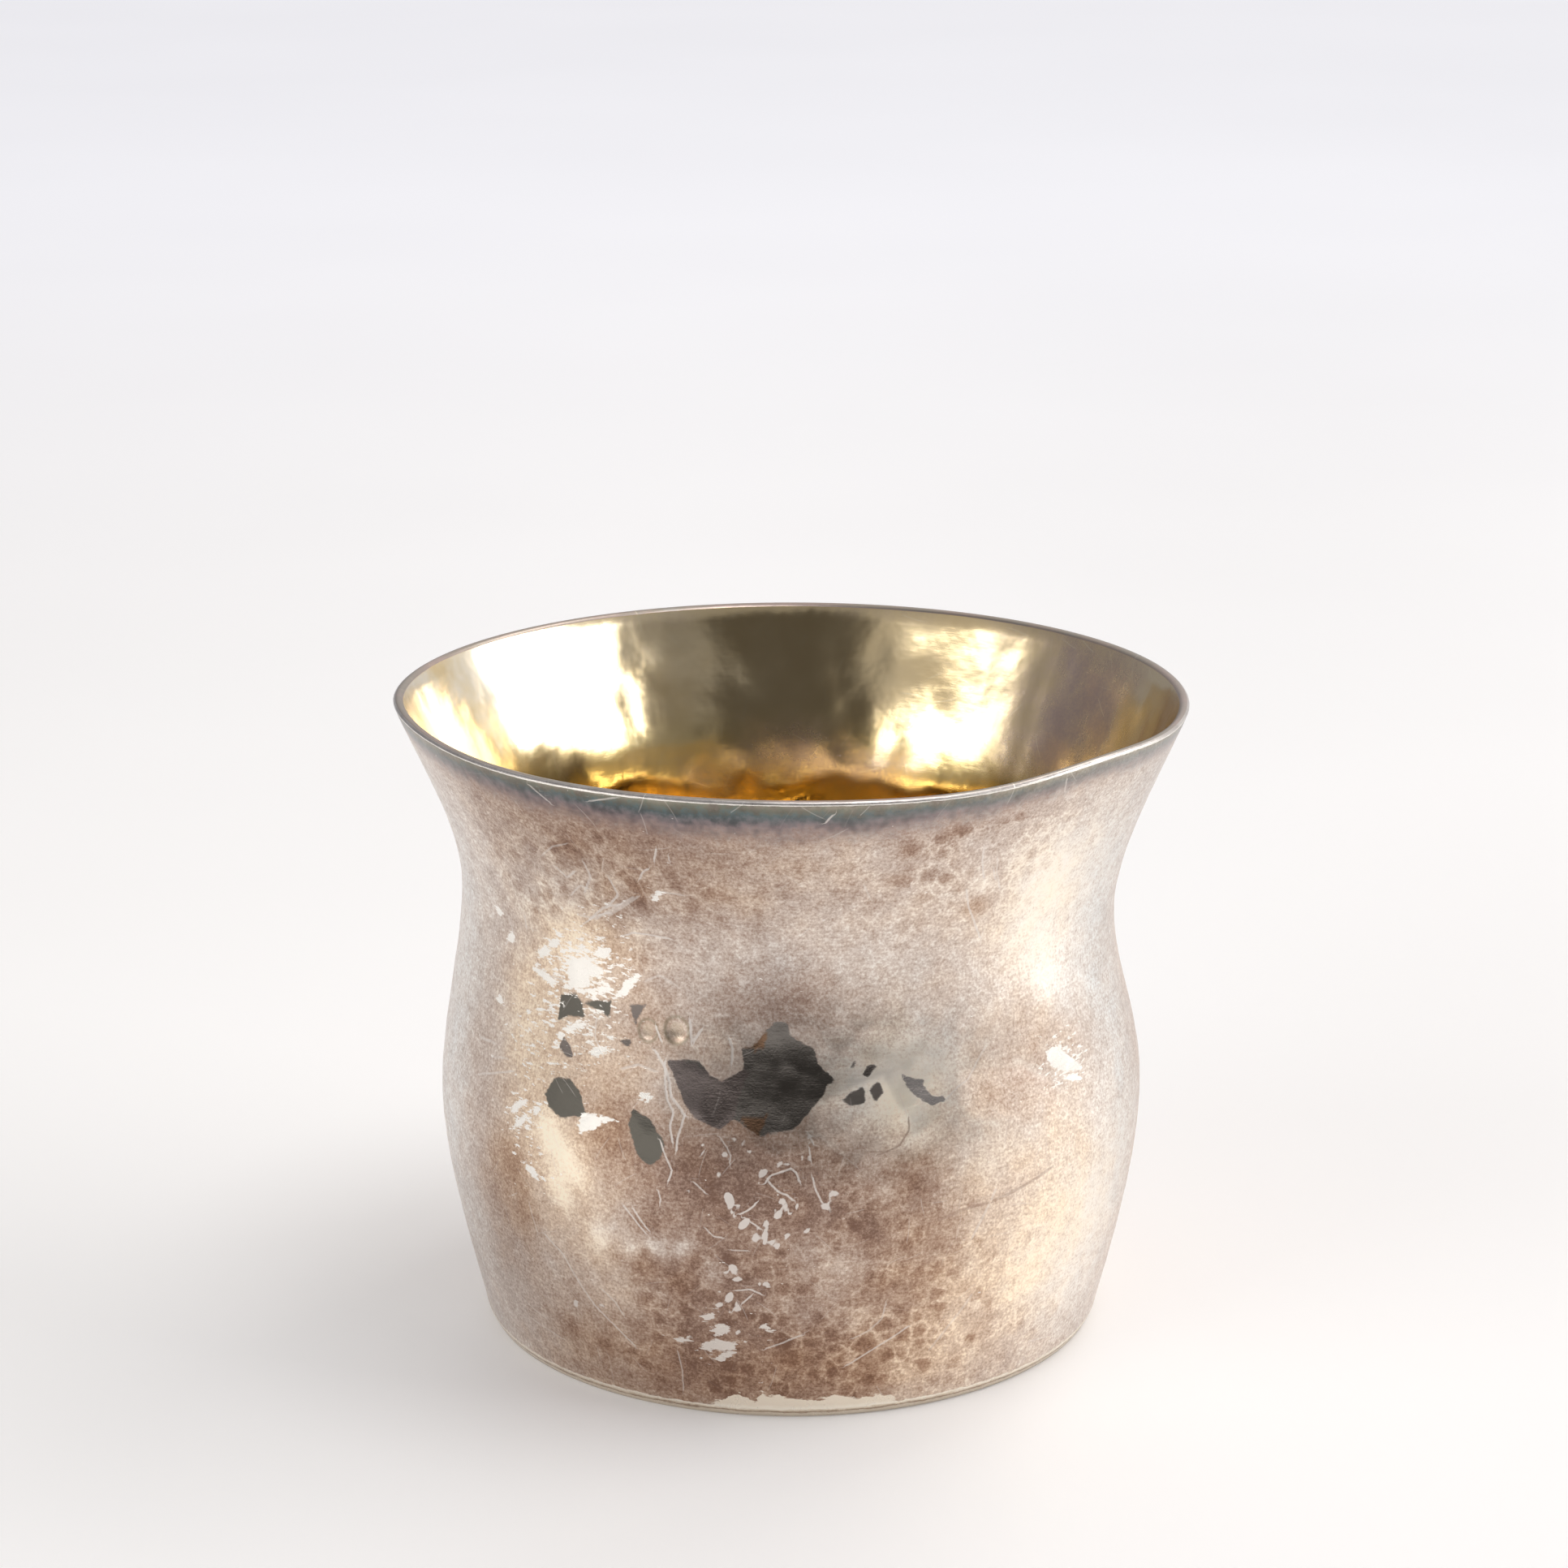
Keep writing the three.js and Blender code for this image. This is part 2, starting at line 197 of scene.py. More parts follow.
# Lines: half width, strength, and a path of (angle, height). Pale lines are scratches, veins where
# liquid ran, and squiggles between the drops; a strength below nothing is a dark line.
LINES = (
    (0.12, 1.0, ((-22, 34.8), (-20.2, 33.6), (-19.2, 32.3), (-19, 31.2), (-17.8, 30.6), (-16.6, 29.8))),
    (0.1, 1.0, ((-20.2, 34), (-20, 32.2), (-19.6, 30.9), (-18.4, 29.9), (-19, 28.7), (-18.4, 27.4))),
    (0.1, 0.9, ((-16.6, 29.8), (-17.2, 28.6), (-17.6, 27.9), (-17.8, 26.7))),
    (0.08, 0.9, ((-20.4, 27.3), (-19.4, 26), (-18.4, 24.9), (-19, 23.9))),
    (0.07, 0.8, ((-20.6, 22.9), (-20.2, 22.2), (-20.4, 21.7))),
    (0.09, 1.0, ((-4, 24.3), (-3, 25), (-1.4, 25.3), (0, 25.6), (0.8, 25.2), (1.2, 24.4))),
    (0.09, 1.0, ((-3.4, 24.4), (-2, 23.5), (-0.6, 23.2), (0.2, 22.7))),
    (0.08, 0.9, ((3.2, 24.8), (3.6, 23.7), (4.6, 22.4), (5.4, 21.8))),
    (0.08, 0.9, ((2.6, 28.7), (3.4, 27.8))),
    (0.07, 0.9, ((2.8, 27.4), (3, 26.2))),
    (0.08, 1.0, ((-7.8, 21.3), (-6.8, 21.6), (-5.6, 22.2), (-5.2, 22.5))),
    (0.08, 1.0, ((-7.2, 21), (-5.6, 20.4), (-4.8, 20))),
    (0.07, 0.7, ((-10.8, 28.1), (-9.8, 27.3), (-9.2, 26.6), (-9.4, 25.9))),
    (0.12, 0.9, ((-9.6, 36.5), (-9, 35.7), (-9.2, 34.5))),
    (0.07, 0.8, ((-14.8, 24), (-13.2, 23.2))),
    (0.07, 0.8, ((-13, 19.7), (-11.8, 19), (-10.6, 19))),
    (0.07, 0.8, ((-9, 17.8), (-6.8, 17.8))),
    (0.08, 0.9, ((-26.4, 21), (-25, 20.1), (-23, 18.7))),
    (0.08, 0.9, ((-24.8, 20.9), (-23.4, 19.7), (-22.4, 19))),
    (0.08, 0.9, ((-8.6, 13.7), (-6.4, 13.9), (-4.8, 13.5))),
    (0.08, 0.9, ((-7.8, 12.3), (-6.2, 13.3))),
    (0.09, 0.8, ((-42.6, 16), (-39.2, 14.6), (-36.6, 12), (-34, 9.8), (-29.8, 7.7), (-27.2, 6.3))),
    (0.08, 0.7, ((-31.8, 11.8), (-29.6, 10.7), (-28.4, 9.5))),
    (0.08, 0.6, ((-53, 7.2), (-49.6, 6.4), (-46.8, 6.2))),
    (0.08, 0.6, ((-51.2, 5.2), (-47.6, 4.9), (-43.2, 4.5))),
    (0.07, 0.55, ((-19.2, 6.5), (-18.8, 4.5), (-19, 2.2))),
    (0.07, 0.5, ((-45.6, 18.6), (-45, 17.2), (-44.4, 15.9))),
    (0.08, 0.75, ((9.2, 5.5), (13.2, 6.9), (16.6, 8.1), (19.4, 9.1))),
    (0.08, 0.7, ((-4.2, 7.6), (-1.2, 8.3), (1.8, 9.1))),
    (0.08, 0.5, ((10, 8.4), (12.8, 9.2), (14.6, 10.2), (15.2, 11.9))),
    (0.12, 0.4, ((23.8, 6.2), (25.8, 7.7), (29.2, 10.1), (30.4, 11.1))),
    (0.12, 0.5, ((29.2, 17), (31.4, 19.3), (33.2, 21.2))),
    (0.08, 0.60, ((-35.8, 44.7), (-33.0, 45.9), (-29.8, 46.7))),
    (0.11, 0.75, ((-34.2, 45.4), (-30.8, 47.1), (-27.4, 47.9))),
    (0.10, 0.50, ((-30.2, 46.3), (-27.0, 47.6), (-23.8, 49.1))),
    (0.08, 0.65, ((-37.0, 47.6), (-34.4, 49.0), (-32.4, 48.8))),
    (0.11, 0.60, ((-32.4, 51.8), (-31.8, 50.3), (-33.8, 48.4))),
    (0.10, 0.75, ((-28.4, 50.6), (-27.4, 48.8), (-29.6, 47.5))),
    (0.08, 0.50, ((-40.6, 51.4), (-37.6, 52.8), (-34.6, 53.5))),
    (0.11, 0.65, ((-54.8, 42.4), (-53.8, 41.4), (-56.2, 40.0))),
    (0.10, 0.60, ((-50.0, 43.5), (-49.8, 42.4))),
    (0.08, 0.75, ((-46.8, 39.2), (-44.2, 38.8), (-41.0, 38.9))),
    (0.11, 0.50, ((-24.0, 40.7), (-21.6, 41.4), (-18.6, 40.7))),
    (0.10, 0.65, ((-21.4, 49.4), (-19.4, 50.0), (-16.4, 49.9))),
    (0.08, 0.60, ((-59.2, 43.3), (-57.6, 42.5))),
    (0.11, 0.75, ((-62.2, 31.1), (-57.2, 31.4))),
    (0.10, 0.50, ((-57.4, 30.2), (-52.8, 30.7))),
    (0.08, 0.65, ((-33.2, 36.5), (-33.2, 34.9), (-31.4, 33.5))),
    (0.11, 0.60, ((-27.6, 32.8), (-24.8, 33.4), (-21.8, 33.1))),
    (0.10, 0.75, ((-38.4, 50.4), (-36.8, 49.5), (-34.8, 50.4))),
    (0.08, 0.6, ((46.4, 3.6), (51.8, 3.1))),
    (0.09, 0.8, ((28, 50), (29.2, 48.3), (30.8, 46.9), (32.6, 45.2))),
    (0.09, 0.8, ((29, 54.1), (29.4, 52.7), (30.6, 51))),
    (0.08, 0.7, ((32, 51.7), (33, 50.5))),
    (0.08, 0.6, ((32.2, 52.7), (32.8, 51.3), (34.4, 49.6))),
    (0.07, 0.6, ((40.4, 59.1), (41.2, 57.7))),
    (0.07, 0.5, ((2.2, 46.6), (3.4, 47.4))),
    (0.08, 0.5, ((11, 51.5), (12.2, 50.1))),
    (0.09, 0.9, ((-19.4, 54.5), (-20, 53.3))),
    (0.07, 0.7, ((-17.6, 54), (-17.6, 53.4))),
    (0.09, 0.8, ((-23, 51), (-22.2, 51.9), (-21.2, 52.3))),
    (0.08, 0.8, ((-28, 44.5), (-25.8, 45.1), (-23, 45.2), (-19.2, 45.1))),
    (0.12, 0.6, ((-36, 45.6), (-32.8, 45.7), (-29.4, 47), (-24.8, 48.9))),
    (0.08, 0.7, ((-37.8, 59.2), (-36.2, 58.4), (-35, 57.8))),
    (0.07, 0.6, ((-28.2, 58.8), (-25.6, 59.2), (-23.8, 59.5))),
    (0.08, 0.7, ((4.6, 58.1), (5.6, 58.9))),
    (0.09, 0.6, ((25.2, 30.6), (27.6, 31.6), (29.6, 32.1), (31.6, 33.5), (33.6, 34.8))),
    (0.09, 0.7, ((-61.4, 28.1), (-56.2, 29), (-51, 29.9))),
    (0.12, 1.0, ((-16.2, 37.8), (-15.8, 35.9), (-14.2, 37.1))),
    (0.1, 1.0, ((-22, 36.8), (-21, 35.7))),
    (0.16, -0.5, ((23.2, 19.5), (28.2, 20.1), (32.6, 20.1), (37.8, 20.6), (44.8, 21.5))),
    (0.08, -0.6, ((13.4, 26.4), (16.8, 27), (18.6, 28.4), (18.6, 29.4))),
)

# Film that dried with an edge, as (angle, height) outlines
DRIED_FILMS = (
    ((28.4, 32.8), (33.6, 32.8), (40.6, 32.3), (45.4, 30.2), (48.2, 28.1), (47.2, 26.7), (44, 26.4),
     (38.8, 26.6), (36.4, 27.8), (34.2, 27.6), (29.8, 28.4), (27.6, 29.9)),
    ((7.6, 32), (10.2, 32.9), (15.2, 33.7), (16.6, 31.7), (18.6, 29.6), (18.8, 28.1), (16.8, 27), (13, 26.5),
     (8, 27.2), (4, 28.8), (4, 30.9)),
)

# Tone and mottling of the tarnish where no spot lies
PLAIN_BROWN, PLAIN_MOTTLE = 0.44, 0.16
# Broad tone of the tarnish, and painted light: some paler, warmer spots are painted highlights (on the right,
# at the left waist and in a streak low on the left), and a darker, greyer spot just above the largest dark
# patch is a painted reflection of the dark room. Angle, height, half width in degrees, half height,
# browner or paler, warmer or greyer
TONE_AND_LIGHT_SPOTS = (
    (2, 20, 13, 6, 0.2, 0.1),
    (-3, 14, 22, 13, 0.36, 0.1),
    (-15, 25, 8, 4, 0.28, 0.0),
    (-14, 10, 8, 5, 0.2, 0.0),
    (20, 20, 6, 5, 0.18, 0.2),
    (-10, 4, 24, 3, 0.26, 0.4),
    (8, 6, 14, 3.5, 0.12, 0.4),
    (-30, 53, 18, 4, 0.18, 0.2),
    (-12, 57, 26, 4, 0.22, 0.0),
    (-14, 48, 12, 6, 0.2, 0.1),
    (66, 30, 12, 40, 0.0, -0.8),
    (-38, 12, 14, 14, 0.0, 0.35),
    (-28, 7, 8, 5, 0.14, 0.1),
    (-28, 27, 4, 3, 0.2, 0.1),
    # painted reflection of the dark room: darker and greyer just above the largest dark patch
    (-3, 40.5, 9, 2.6, 0.22, -0.5),
    (0, 44, 25, 3, -0.05, -0.4),
    (34, 32, 14, 5, 0.04, 0.0),
    (22, 36, 8, 3, -0.12, 0.0),
    # painted highlight: paler and warmer on the right
    (56, 15, 17, 9, -0.4, 0.4),
    (50, 47, 14, 7, -0.33, 0.5),
    (54, 33, 10, 4, 0.06, 0.2),
    (14, 31, 9, 3.5, -0.25, 0.1),
    (20, 30, 6, 4, -0.16, 0.3),
    (30, 25, 5, 3, -0.2, 0.2),
    (5, 16.5, 12, 3.5, -0.2, 0.1),
    (-30, 16, 5, 6, -0.16, 0.2),
    (-53, 19, 6, 5, 0.25, 0.5),
    (-50, 35, 6, 4, -0.14, 0.5),
    (-10, 46, 7, 10, -0.12, 0.0),
    (28, 11, 12, 7, 0.05, 0.7),
    (-45, 11, 14, 7, 0.1, -0.4),
    (-76, 28, 14, 30, -0.2, -0.8),
    (-29, 32.5, 7, 5, 0.02, 0.4),
    (-4, 23, 8, 3, 0.1, 0.0),
    (29.6, 14, 1.8, 4, -0.14, 0.0),
    (27, 8, 1.8, 2.5, -0.14, 0.0),
    (19.5, 28, 1.6, 2.5, -0.16, 0.0),
    (14, 23.2, 2.4, 1.2, -0.14, 0.0),
    (2, 17.5, 2.4, 1.2, -0.14, 0.0),
    (8, 16, 2.4, 1.2, -0.14, 0.0),
    (40, 11, 4, 2.4, -0.14, 0.3),
    (66, 36, 9, 11, -0.18, -0.2),
    (-40, 13, 8, 5, -0.12, 0.2),
    # painted highlight: a pale, warm streak low on the left
    (-40, 24, 9, 4, -0.1, 0.7),
    (-42, 26.7, 2, 1.2, -0.35, 0.4),
    (-39.6, 25.4, 2, 1.2, -0.4, 0.4),
    (-37, 24.2, 2, 1.2, -0.4, 0.4),
    (-30, 29, 5, 3, 0.16, 0.1),
    (-25, 37, 8, 3, 0.1, 0.0),
    (15, 33, 8, 3.2, -0.4, 0.2),
    (20, 5, 6, 2.5, -0.2, 0.4),
    (0, 5, 5, 2, -0.15, 0.0),
    (-30, 5, 5, 2, -0.15, 0.0),
    (-10, 17, 3, 3, 0.12, 0.0),
    (-60, 29, 6, 8, 0.12, 0.0),
    (-50, 52, 7, 5, 0.12, 0.0),
    (-30, 44, 5, 3, 0.14, 0.4),
    (-5, 22, 16, 8, 0.0, -0.25),
    # painted reflection of the dark room: darker just above the largest dark patch
    (-3, 39.5, 8, 2, 0.12, -0.2),
    # painted highlight: a pale, warm glow at the left waist
    (-37, 43.5, 4, 2.5, -0.2, 0.6),
    # painted highlight: warmer on the lower right
    (52, 20, 14, 8, 0.0, 0.5),
    (30, 56, 12, 2.5, 0.12, -0.1),
    (8, 25, 14, 4, 0.08, 0.0),
    (-31, 33, 4, 3, -0.12, 0.0),
    (-35, 22.8, 2, 1.1, -0.35, 0.3),
    (-39.4, 21.6, 1.8, 1.2, -0.35, 0.3),
    (-37.2, 20, 1.6, 1, -0.35, 0.2),
    (-49, 22.1, 2.4, 1.6, 0.25, 0.4),
    (-46.6, 17.6, 2.4, 2, 0.2, 0.3),
    (-33.4, 5.5, 2, 0.9, 0.3, 0.2),
    (-40.8, 6.3, 2.5, 1.2, 0.25, 0.2),
    (-28.6, 16.2, 1.8, 1.1, 0.22, 0.3),
    (-23, 15, 2, 1.2, 0.28, 0.3),
    (-17.6, 14, 2, 1.2, 0.25, 0.3),
    (-22.4, 19.5, 2, 1.2, 0.25, 0.1),
    (-15.2, 16.9, 1.6, 1, 0.3, 0.2),
    (11.8, 19.3, 2.4, 1.5, 0.3, 0.0),
    (19, 24.1, 2.4, 1.5, 0.25, 0.0),
    (15.2, 14, 3, 1.4, 0.2, 0.2),
    (-0.2, 6.8, 3, 1.2, 0.22, 0.3),
    (14, 4.3, 3, 1.1, 0.15, 0.3),
    (21.2, 5.7, 2, 0.9, 0.15, 0.4),
    (30.2, 48.1, 2.6, 0.8, 0.25, 0.6),
    (16.6, 55, 1.4, 0.8, 0.3, 0.3),
    (22.6, 56.1, 1.8, 0.9, 0.3, 0.0),
    (16.2, 51.8, 1.4, 0.7, 0.25, 0.3),
    (22, 52.2, 1.8, 0.6, 0.25, -0.2),
    (-23.6, 49.7, 1.6, 1, 0.3, 0.4),
    (-29.2, 49.1, 1.6, 1, 0.2, 0.4),
    (-34, 53.1, 2, 1.2, 0.2, 0.4),
    (44, 48, 5, 6, -0.16, 0.0),
    (49, 40, 3.5, 2.5, -0.22, 0.0),
    (-46, 34, 8, 6, -0.08, 0.8),
    # painted highlight: a pale, warm glow at the left waist
    (-36, 42, 9, 3, -0.18, 0.9),
    (-16.6, 17.6, 1.9, 0.8, -0.5, -0.2),
    (-21.4, 17.5, 1.7, 0.7, -0.45, -0.2),
    (-12.3, 15.2, 1.3, 1.2, -0.42, -0.2),
    (-31, 17.2, 2, 1.4, -0.35, 0.0),
    (-25.6, 17, 1.4, 0.8, -0.3, 0.0),
    (140, 30, 40, 14, 0.2, 0.2),
    (-130, 18, 35, 12, 0.22, 0.0),
    (175, 48, 40, 8, -0.1, 0.2),
    (100, 13, 20, 8, 0.2, 0.3),
    (122, 50, 20, 6, 0.16, 0.0),
    (150, 8, 25, 5, 0.26, 0.2),
    (162, 24, 12, 6, -0.16, 0.2),
    (-95, 45, 16, 8, 0.14, 0.2),
    (-110, 8, 25, 6, 0.24, 0.3),
    (-104, 26, 10, 7, -0.14, 0.3),
    (-165, 36, 20, 8, 0.16, -0.2),
    (-140, 50, 18, 6, -0.12, 0.3),
    (-40, 57.5, 12, 2.5, 0.12, 0.0),
)
# Where the hammer marks show as brown spots: angle, height, half width, half height, strength
MOTTLE_SPOTS = (
    (20, 9, 20, 8, 0.9),
    (0, 5, 30, 4, 0.7),
    (-30, 49, 15, 6, 1.0),
    (-52, 46, 12, 8, 0.4),
    (28, 54, 22, 6, 0.8),
    (-14, 14, 12, 6, 0.7),
    (12, 22, 10, 6, 0.5),
    (180, 12, 60, 8, 0.7),
    (118, 10, 26, 7, 0.5),
    (-120, 48, 30, 6, 0.6),
    (-118, 10, 28, 7, 0.6),
)
# Stain on the gilding: angle, depth below the lip, half width, half height, strength
STAIN_SPOTS = (
    (123, 7, 14, 7, 0.46),
    (180, 0.5, 60, 1.2, 0.2),
    (165, 15, 25, 4, 0.3),
    (-160, 19, 30, 5, 0.25),
    (40, 6, 50, 8, 0.25),
)
# Where the gilding is worn thin: angle, depth below the lip, half width, half height, strength
THIN_SPOTS = (
    (-100, 3, 35, 8, 0.9),
    (85, 3, 22, 6, 0.6),
)

# Where the tarnish is rubbed through in small streaks: angle, height, half width, half height, strength
RUBBED_SPOTS = (
    (-37, 40.5, 8, 2.8, 1.3),
    (-46, 33, 8, 5, 0.65),
    (-34, 35, 8, 3, 0.7),
    (-47, 26, 5, 2.2, 0.8),
    (-44, 22, 4, 2.2, 0.6),
    (-30, 46, 7, 3, 0.6),
    (51, 31.5, 7, 3.2, 1.05),
    (-11, 8, 5, 2.5, 0.4),
    (-6, 18, 8, 9, 0.2),
    (120, 40, 10, 4, 0.7),
    (-140, 25, 10, 4, 0.7),
    (165, 14, 8, 5, 0.6),
)
# Two round punch marks: angle, height, half size, depth
PUNCH_MARKS = ((-23.4, 36.4, 0.95, 0.09), (-18.4, 36.8, 1.15, 0.12))

rng = np.random.default_rng(18)


def smooth_step(value, low, high):
    share = np.clip((value - low) / (high - low), 0.0, 1.0)
    return share * share * (3.0 - 2.0 * share)


def wrapped(angle):
    return np.arctan2(np.sin(angle), np.cos(angle))


def wall_curve(height):
    """Radius and slope of the outside of the wall, a cubic between each pair of rings."""
    height = np.asarray(height, float)
    radius = np.zeros_like(height)
    slope = np.zeros_like(height)
    for (z0, r0, s0), (z1, r1, s1) in zip(RINGS[:-1], RINGS[1:]):
        span = z1 - z0
        u = (height - z0) / span
        here = (u >= 0.0) & (u <= 1.0)
        r = r0 * (1 + 2 * u) * (1 - u) ** 2 + r1 * u * u * (3 - 2 * u)
        r += span * (s0 * u * (1 - u) ** 2 + s1 * u * u * (u - 1))
        s = (r1 - r0) * 6 * u * (1 - u) / span
        s += s0 * (1 - u) * (1 - 3 * u) + s1 * u * (3 * u - 2)
        radius = np.where(here, r, radius)
        slope = np.where(here, s, slope)
    return radius, slope


def dome_height(radius):
    share = np.clip(np.asarray(radius) / RING_INNER_RADIUS, 0.0, 1.0)
    return DOME_RISE * 0.5 * (1.0 + np.cos(np.pi * share))


def outer_profile():
    """Rows from under the base to the lip: radius, height, outward direction and region."""
    rows = []
    for radius in (5.0, 10.0, 15.0, 20.0, 22.5, RING_INNER_RADIUS, 26.5, 28.5):
        rows.append((radius, float(dome_height(radius)), 0.0, -1.0, UNDERSIDE))
    foot = BASE_RADIUS - BAND_BEVEL
    rows.append((foot - EDGE_ROUND, 0.0, 0.3, -0.95, UNDERSIDE))
    rows.append((foot - 0.3 * EDGE_ROUND, 0.3 * EDGE_ROUND, 0.7, -0.7, BAND))
    rows.append((foot, EDGE_ROUND, 0.9, -0.43, BAND))
    rows.append((foot + 0.5 * BAND_BEVEL, 0.55, 0.9, -0.43, BAND))
    rows.append((BASE_RADIUS - 0.06, 0.78, 0.9, -0.43, BAND))
    wall_heights = np.linspace(BASE_HEIGHT, RIM_HEIGHT, WALL_ROWS)
    radii, slopes = wall_curve(wall_heights)
    for radius, height, slope in zip(radii, wall_heights, slopes):
        size = math.hypot(1.0, slope)
        rows.append((radius, height, 1.0 / size, -slope / size, OUTSIDE))
    lip_radius, lip_height, out_r, out_z, _ = rows[-1]
    for share in (0.05, 0.14, 0.3, 0.5, 0.7, 0.86, 0.95):
        crown = RIM_CROWN * (1.0 - abs(2.0 * share - 1.0) ** 3)
        crown -= LIP_WEAR * max(0.0, (share - 0.4) / 0.6) ** 2
        radius = lip_radius - out_r * WALL * share - out_z * crown
        height = lip_height - out_z * WALL * share + out_r * crown
        rows.append((radius, height, -out_z, out_r, RIM))
    return np.array(rows)


def inner_profile():
    """Rows like those of the outside, from the lip's inner corner down to the floor."""
    rows = []
    bend_top = 5.2
    heights = np.linspace(RIM_HEIGHT - LIP_WEAR, bend_top, INSIDE_ROWS)
    radii, slopes = wall_curve(heights)
    for radius, height, slope in zip(radii, heights, slopes):
        size = math.hypot(1.0, slope)
        rows.append((radius - WALL / size, height + WALL * slope / size, -1.0 / size, slope / size, INSIDE))
    start = np.array(rows[-1][:2])
    corner = np.array((BASE_RADIUS - WALL, FLOOR))
    end = np.array((corner[0] - INNER_CORNER, FLOOR))
    for t in np.linspace(0.0, 1.0, 8)[1:]:
        point = (1 - t) ** 2 * start + 2 * t * (1 - t) * corner + t * t * end
        turn = t * math.pi / 2
        rows.append((point[0], point[1], -math.cos(turn), math.sin(turn), WELL))
    for radius in (23.0, 20.0, 17.0, 14.0, 11.0, 8.0, 5.0, 2.5):
        rows.append((radius, float(dome_height(radius)) + FLOOR, 0.0, 1.0, WELL))
    return np.array(rows)


def outer_columns():
    side = BACK_COLUMNS // 2
    left = np.linspace(-180.0, -FRONT_HALF, side, endpoint=False)
    front = np.linspace(-FRONT_HALF, FRONT_HALF, FRONT_COLUMNS, endpoint=False)
    right = np.linspace(FRONT_HALF, 180.0, side, endpoint=False)
    return np.radians(np.concatenate((left, front, right)))


def uneven_handwork(x, y, z):
    """Moves a true turned shape into the uneven one that the hammer left."""
    lip_share = smooth_step(z, WAIST_HEIGHT, RIM_HEIGHT)
    to_waist = smooth_step(z, BELLY_HEIGHT, WAIST_HEIGHT)
    lean = BELLY_LEAN * smooth_step(z, 0.0, BELLY_HEIGHT)
    lean = (lean + (WAIST_LEAN - lean) * to_waist) * (1.0 - lip_share)
    angle = np.arctan2(x, -y)
    wave = 0.0
    for at, rise, spread in RIM_WAVES:
        wave = wave + rise * np.exp(-((wrapped(angle - math.radians(at)) / math.radians(spread)) ** 2))
    moved_x = x + WAIST_SHIFT * to_waist * (1.0 - lip_share)
    return moved_x, y, z + lean * x / WAIST_RADIUS + wave * lip_share


def hammer_blows(along, radii, angles, spacing, reach, depth):
    """Shallow dishes all over a stretch of rows: how deep each point lies."""
    deep = np.zeros((len(along), len(angles)))
    for centre in np.arange(along[0], along[-1] + spacing, spacing * 0.87):
        middle = int(np.argmin(np.abs(along - centre)))
        count = max(int(2 * math.pi * radii[middle] / spacing), 3)
        for k in range(count):
            at = 2 * math.pi * (k + rng.uniform(-0.45, 0.45)) / count
            up = centre + spacing * rng.uniform(-0.45, 0.45)
            size = rng.uniform(*reach)
            blow = rng.uniform(*depth)
            near = np.nonzero(np.abs(along - up) < size)[0]
            if not len(near):
                continue
            rows = slice(near[0], near[-1] + 1)
            across = wrapped(angles - at)[None, :] * radii[rows, None]
            far = (across**2 + (along[rows, None] - up) ** 2) / size**2
            deep[rows] = np.maximum(deep[rows], blow * np.clip(1.0 - far, 0.0, 1.0))
    return deep


def soft_spot(angles, heights, at, height, half_width, half_height):
    """One where the spot is, fading to nothing about twice its half size away."""
    across = np.degrees(wrapped(angles - math.radians(at))) / half_width
    up = (heights - height) / half_height
    return np.exp(-0.7 * (across[None, :] ** 2 + up[:, None] ** 2))


def add_spots(angles, heights, spots):
    total = np.zeros((len(heights), len(angles)))
    for at, height, half_width, half_height, amount in spots:
        total += amount * soft_spot(angles, heights, at, height, half_width, half_height)
    return total


def near_path(angles, heights, path, reach):
    """The rows and columns within reach of a path, and where they and the path lie on the flat sheet."""
    flat = [(math.radians(a) * SURFACE_RADIUS, h) for a, h in path]
    across = angles * SURFACE_RADIUS
    xs, ys = zip(*flat)
    rows = np.nonzero((heights > min(ys) - reach) & (heights < max(ys) + reach))[0]
    columns = np.nonzero((across > min(xs) - reach) & (across < max(xs) + reach))[0]
    return np.ix_(rows, columns), across[columns][None, :], heights[rows][:, None], flat


def step_distance(x, y, start, end):
    """Distance to a straight step, and to which side of it a point lies."""
    dx, dy = end[0] - start[0], end[1] - start[1]
    t = np.clip(((x - start[0]) * dx + (y - start[1]) * dy) / (dx * dx + dy * dy), 0.0, 1.0)
    away = np.hypot(x - start[0] - t * dx, y - start[1] - t * dy)
    return away, np.sign((x - start[0]) * dy - (y - start[1]) * dx)


def outline_distance(angles, heights, outline):
    """The cells near a closed outline, and the distance to it there, less than nothing inside."""
    cells, x, y, flat = near_path(angles, heights, outline, MARK_REACH)
    away = np.full(np.broadcast(x, y).shape, NO_MARK)
    inside = np.zeros(away.shape, bool)
    for start, end in zip(flat, flat[1:] + flat[:1]):
        away = np.minimum(away, step_distance(x, y, start, end)[0])
        if end[1] != start[1]:
            crosses = (start[1] > y) != (end[1] > y)
            inside ^= crosses & (x < start[0] + (end[0] - start[0]) * (y - start[1]) / (end[1] - start[1]))
    return cells, np.where(inside, -away, away)


def nearest_outline(angles, heights, outlines):
    nearest = np.full((len(heights), len(angles)), MARK_REACH)
    for outline in outlines:
        cells, away = outline_distance(angles, heights, outline)
        nearest[cells] = np.minimum(nearest[cells], away)
    return nearest


